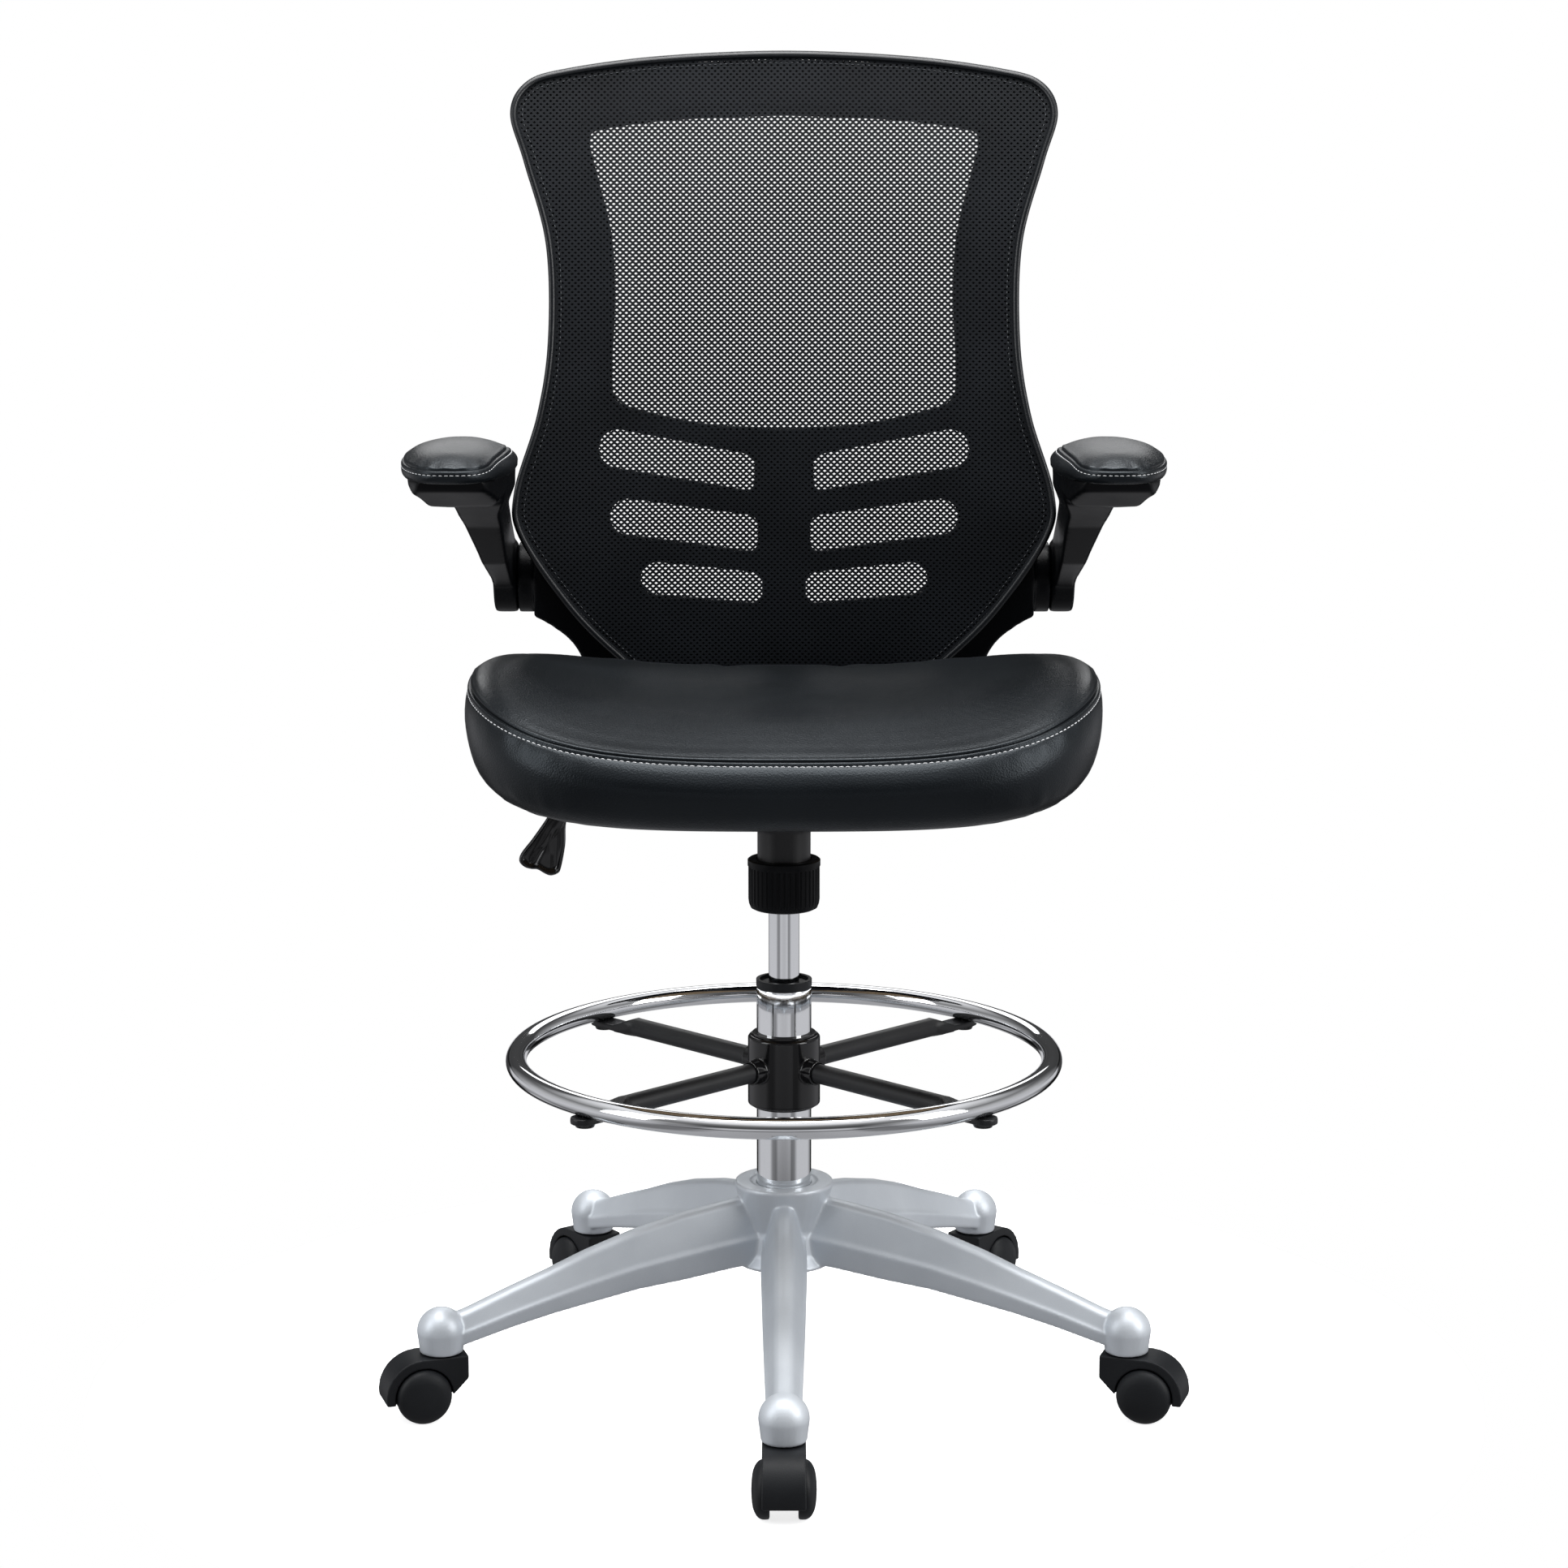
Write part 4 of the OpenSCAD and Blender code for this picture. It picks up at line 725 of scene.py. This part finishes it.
pad_parts = upholster("pad", pad_profile, pad_seam, pad_detail, cols=288, near=PAD_NEAR,
                      far_down=np.linspace(0, 1, 15)[1:-1], far_up=np.linspace(0, 1, 17)[1:-1],
                      sim_rows=10, cap=1.2)
pad_points, pad_faces, pad_grid, pad_out, pad_distance = pad_parts
pad_line, pad_line_out = at_distance(pad_grid, pad_out, pad_distance, 0.0)
for side, body in ((1, "arm_right"), (-1, "arm_left")):
    flip = np.array([side, 1, 1])
    pad = make_object("pad_leather_" + body[4:], pad_points * flip, pad_faces, leather)
    recalc_normals(pad)
    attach(pad, body)
    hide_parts("arm_pad_" + body[4:])
    sewn = thread_stitches("pad_stitching_" + body[4:], pad_line * flip, pad_line_out * flip,
                           white_thread, body, pitch=PAD_STITCH, share=0.72, width=0.62, lift=0.2, seed=11)
    recalc_normals(sewn)

# ---------------------------------------------------------------- lever paddle

PADDLE = [(-191, 541), (-207, 541), (-216, 527), (-228, 510), (-238, 497), (-239.5, 490), (-235, 485),
          (-229, 483), (-223, 482.5), (-216, 478.5), (-211, 477), (-205, 479), (-202, 484), (-198, 505),
          (-197, 525)]
PADDLE_T, PADDLE_CENTRE = 13.0, np.array([-214.0, 505.0])
PADDLE_SHARES = [0.25, 0.45, 0.6, 0.7, 0.76, 0.80, 0.84, 0.88, 0.92, 0.96, 0.985, 1.0]
FLUTE_TOP, FLUTE_FEET = np.array([-206.0, 528.0]), [(-227.0, 488.0), (-207.5, 484.0)]
FLUTE_DEPTH, FLUTE_END = 2.0, 0.9
RIM_RISE, RIM_SHARE, DISH_DEPTH, DISH_SHARE = 1.0, 0.90, 1.2, 0.82
EDGE_DROP, EDGE_SHARE, PADDLE_RECESS = 3.2, 0.92, 0.6


def paddle_height(share):
    """Height of the grip's face above its middle plane: a raised rim round a dish, rounded at the edge."""
    rim = RIM_RISE * bell(share, RIM_SHARE, 0.05)
    dish = DISH_DEPTH * (1 - 1 / (1 + math.exp(-(share - DISH_SHARE) * 45)))
    edge = -EDGE_DROP * max(0.0, (share - EDGE_SHARE) / (1 - EDGE_SHARE)) ** 2
    return PADDLE_T / 2 - PADDLE_RECESS + (rim - dish) + edge


def build_paddle():
    """Moulded grip, alike on both sides: a raised rim, a dished face and two flutes that spread downwards."""
    loop = resample(smooth_loop(PADDLE, 10), 200)
    rings = []
    for share, side in [(v, -1) for v in PADDLE_SHARES] + [(v, 1) for v in PADDLE_SHARES[::-1]]:
        flat = PADDLE_CENTRE + (loop - PADDLE_CENTRE) * share
        high = np.full(len(flat), paddle_height(share))
        for foot in FLUTE_FEET:
            line = np.array(foot) - FLUTE_TOP
            t = np.clip(((flat - FLUTE_TOP) @ line) / (line @ line), 0, 1)
            away = np.linalg.norm(flat - FLUTE_TOP - t[:, None] * line, axis=1)
            flute = bell(away, 0, 2.2 + 1.2 * t) * (share < FLUTE_END) * np.clip(t * 3, 0, 1)
            high = high - FLUTE_DEPTH * flute
        rings.append(np.stack([flat[:, 0], side * high, flat[:, 1]], -1))
    points, faces = capped(np.stack(rings))
    made = make_object("paddle_grip", points, faces, gloss)
    recalc_normals(made)
    return made


grip = build_paddle()
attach(grip, "lever")
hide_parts("lever_paddle")

# ---------------------------------------------------------------- CAD pieces: finishes and softened edges


EDGE_ANGLE, BEVEL_WIDTH = 32, 0.35


def weld(piece):
    piece.modifiers.new("Weld", "WELD").merge_threshold = WELD_DISTANCE


def soften(piece, voxel, rounds):
    """Rounds a CAD piece's hard edges as casting and moulding do, with modifiers only."""
    weld(piece)
    remesh = piece.modifiers.new("Remesh", "REMESH")
    remesh.mode = "VOXEL"
    remesh.voxel_size = voxel * MM
    remesh.use_smooth_shade = True
    smooth = piece.modifiers.new("Smooth", "SMOOTH")
    smooth.factor = 0.5
    smooth.iterations = rounds


def crisp(piece):
    """Welds a CAD piece's facets and shades it smooth between its real edges."""
    mesh = piece.data
    if "custom_normal" in mesh.attributes:
        mesh.attributes.remove(mesh.attributes["custom_normal"])
    mesh.shade_smooth()
    weld(piece)
    bevel = piece.modifiers.new("Bevel", "BEVEL")
    bevel.width = BEVEL_WIDTH * MM
    bevel.segments = 2
    bevel.limit_method = "ANGLE"
    bevel.angle_limit = math.radians(EDGE_ANGLE)
    bevel.harden_normals = True
    bevel.use_clamp_overlap = True


FINISH = {
    "silver_cast": cast, "chrome": chrome, "black_nylon": nylon, "plain_steel": ground_steel,
    "gloss_black": gloss, "black_steel": powder, "black_plastic": plastic, "plywood": ply,
    "black_leather": leather, "black_mesh": weave,
}
slot_of = {part["node"]: part["material_slot"] for part in frame["record"]["subparts"]}
# Cast and moulded pieces: size of the finest detail that is kept, and rounds of smoothing.
SOFTENED = {"star_base": (1.5, 2), "back_yoke": (2.2, 4), "arm_left": (1.5, 30), "arm_right": (1.5, 30),
            "back_shell": (2.4, 2), "tilt_housing": (1.6, 2), "ring_spokes": (1.2, 2), "ring_hub": (0.8, 2)}
SOFTENED.update({f"caster_hood_{n}": (0.9, 6) for n in range(1, 6)})
SOFTENED.update({f"wheel_{n}{side}": (0.9, 6) for n in range(1, 6) for side in "ab"})
for name, piece in nodes.items():
    material = FINISH[slot_of[name]]
    for place in range(len(piece.data.materials)):
        piece.data.materials[place] = material
    if not piece.data.materials:
        piece.data.materials.append(material)
    if piece.hide_render:
        continue
    if name in SOFTENED:
        soften(piece, *SOFTENED[name])
    else:
        crisp(piece)

# ---------------------------------------------------------------- stage, light, camera


def plain(name, colour, rough, glow=0.0):
    made = bpy.data.materials.new(name)
    made.use_nodes = True
    shader = made.node_tree.nodes["Principled BSDF"]
    shader.inputs["Base Color"].default_value = (*colour, 1)
    shader.inputs["Roughness"].default_value = rough
    shader.inputs["Specular IOR Level"].default_value = 0.0
    shader.inputs["Emission Color"].default_value = (1, 1, 1, 1)
    shader.inputs["Emission Strength"].default_value = glow
    return made


floor_white = plain("floor_white", (0.85, 0.85, 0.85), 0.9, glow=0.78)
FLOOR_R = 640.0
turns = np.radians(np.arange(0, 360, 5))
rim = np.stack([FLOOR_R * np.cos(turns), FLOOR_R * np.sin(turns), 0 * turns], -1)
floor = make_object("floor", rim, [tuple(range(len(rim)))], floor_white, smooth=False)
floor.visible_diffuse = False
floor.visible_glossy = False

world = bpy.data.worlds.new("studio")
scene.world = world
world.use_nodes = True
tree = world.node_tree
tree.nodes.clear()


COOLNESS = 1.02


def tone_ramp(source, stops):
    """A grey ramp: (height of the direction, brightness) pairs."""
    node = tree.nodes.new("ShaderNodeValToRGB")
    ramp = node.color_ramp
    while len(ramp.elements) < len(stops):
        ramp.elements.new(0.5)
    for element, (place, tone) in zip(ramp.elements, stops):
        element.position = (place + 1) / 2
        element.color = (tone, tone, tone * COOLNESS, 1)
    link(tree, remap(tree, source, -1.0, 1.0, 0.0, 1.0), node.inputs["Fac"])
    return node.outputs["Color"]


def mixed(factor, first, second, how="MIX"):
    node = tree.nodes.new("ShaderNodeMix")
    node.data_type = "RGBA"
    node.blend_type = how
    if isinstance(factor, float):
        node.inputs[0].default_value = factor
    else:
        link(tree, factor, node.inputs[0])
    link(tree, first, node.inputs[6])
    link(tree, second, node.inputs[7])
    return node.outputs[2]


output = tree.nodes.new("ShaderNodeOutputWorld")
choose = tree.nodes.new("ShaderNodeMixShader")
seen = tree.nodes.new("ShaderNodeBackground")
seen.inputs["Color"].default_value = (1, 1, 1, 1)
lit = tree.nodes.new("ShaderNodeBackground")
path = tree.nodes.new("ShaderNodeLightPath")
direction = tree.nodes.new("ShaderNodeTexCoord").outputs["Generated"]
axes = tree.nodes.new("ShaderNodeSeparateXYZ")
link(tree, direction, axes.inputs[0])
front_tone = tone_ramp(axes.outputs["Z"], [
    (-0.6, 0.4), (-0.42, 0.38), (-0.38, 0.12), (-0.3, 0.12), (-0.26, 0.55), (-0.12, 0.6), (0.0, 0.3),
    (0.05, 0.08), (0.3, 0.08), (0.55, 0.25), (0.8, 0.9), (1.0, 1.0)])
rear_tone = tone_ramp(axes.outputs["Z"], [
    (-1, 0.45), (-0.45, 0.45), (-0.40, 0.06), (-0.27, 0.06), (-0.22, 0.6), (-0.06, 0.6), (-0.03, 0.03),
    (0.05, 0.03), (0.08, 0.07), (0.14, 0.05), (0.65, 0.08), (0.88, 0.7), (1.0, 1.0)])
side_tone = tone_ramp(axes.outputs["Z"], [(-0.5, 0.4), (-0.25, 0.6), (0.1, 0.5), (0.4, 0.2), (0.8, 0.85)])
behind = remap(tree, axes.outputs["Y"], 0.45, 0.62, 0.0, 1.0)
sideways = tree.nodes.new("ShaderNodeMath")
sideways.operation = "ABSOLUTE"
link(tree, axes.outputs["X"], sideways.inputs[0])
beside = remap(tree, sideways.outputs[0], 0.5, 0.85, 0.0, 1.0)
tone = mixed(behind, mixed(beside, front_tone, side_tone), mixed(beside, rear_tone, side_tone))
rear_streak = tone_ramp(sideways.outputs[0], [
    (0.0, 1.0), (0.2, 1.0), (0.26, 0.08), (0.48, 0.08), (0.54, 1.0), (1.0, 1.0)])
front_streak = tone_ramp(axes.outputs["X"], [
    (-1.0, 1.0), (-0.85, 1.0), (-0.72, 0.45), (-0.55, 0.45), (-0.4, 1.0), (-0.1, 0.9), (0.15, 0.9),
    (0.3, 1.0), (0.42, 1.0), (0.5, 0.5), (0.66, 0.45), (0.8, 1.0), (1.0, 1.0)])
streak = mixed(behind, front_streak, rear_streak)
low_down = remap(tree, axes.outputs["Z"], -0.05, 0.1, 1.0, 0.0)
streaked = mixed(low_down, tone, mixed(1.0, tone, streak, "MULTIPLY"))
link(tree, streaked, lit.inputs["Color"])
link(tree, path.outputs["Is Camera Ray"], choose.inputs["Fac"])
link(tree, lit.outputs[0], choose.inputs[1])
link(tree, seen.outputs[0], choose.inputs[2])
link(tree, choose.outputs[0], output.inputs["Surface"])


def area_light(name, place, aim, size, power, colour=(1, 1, 1)):
    data = bpy.data.lights.new(name, "AREA")
    data.shape = "RECTANGLE"
    data.size, data.size_y = size
    data.energy = power
    data.color = colour
    lamp = bpy.data.objects.new(name, data)
    scene.collection.objects.link(lamp)
    lamp.location = place
    lamp.rotation_euler = (Vector(aim) - Vector(place)).to_track_quat("-Z", "Y").to_euler()
    return lamp


area_light("top", (0.0, -0.25, 3.4), (0, 0.0, 0.6), (2.6, 1.7), 78)
area_light("left", (-2.6, -1.2, 1.7), (0, 0, 0.6), (1.2, 2.4), 31, (0.96, 0.98, 1.0))
area_light("right", (2.6, -1.2, 1.7), (0, 0, 0.6), (1.2, 2.4), 50)
area_light("overhead_strip", (0.0, 0.78, 3.3), (0, -0.2, 0.6), (1.8, 0.6), 34)
rear_light = area_light("rear", (0.0, 3.0, 2.2), (0, 0, 0.9), (2.4, 1.4), 20)
rear_light.data.specular_factor = 0.0

CAMERA_DISTANCE, CAMERA_HEIGHT, CAMERA_TILT = 3.205, 1.149, 79.6
camera_data = bpy.data.cameras.new("camera")
camera_data.sensor_width = 36.0
camera_data.lens = 82.92
camera_data.clip_end = 100.0
camera = bpy.data.objects.new("camera", camera_data)
scene.collection.objects.link(camera)
camera.location = (0.0, -CAMERA_DISTANCE, CAMERA_HEIGHT)
camera.rotation_euler = (math.radians(CAMERA_TILT), 0.0, 0.0)
scene.camera = camera
scene.view_settings.view_transform = "Standard"
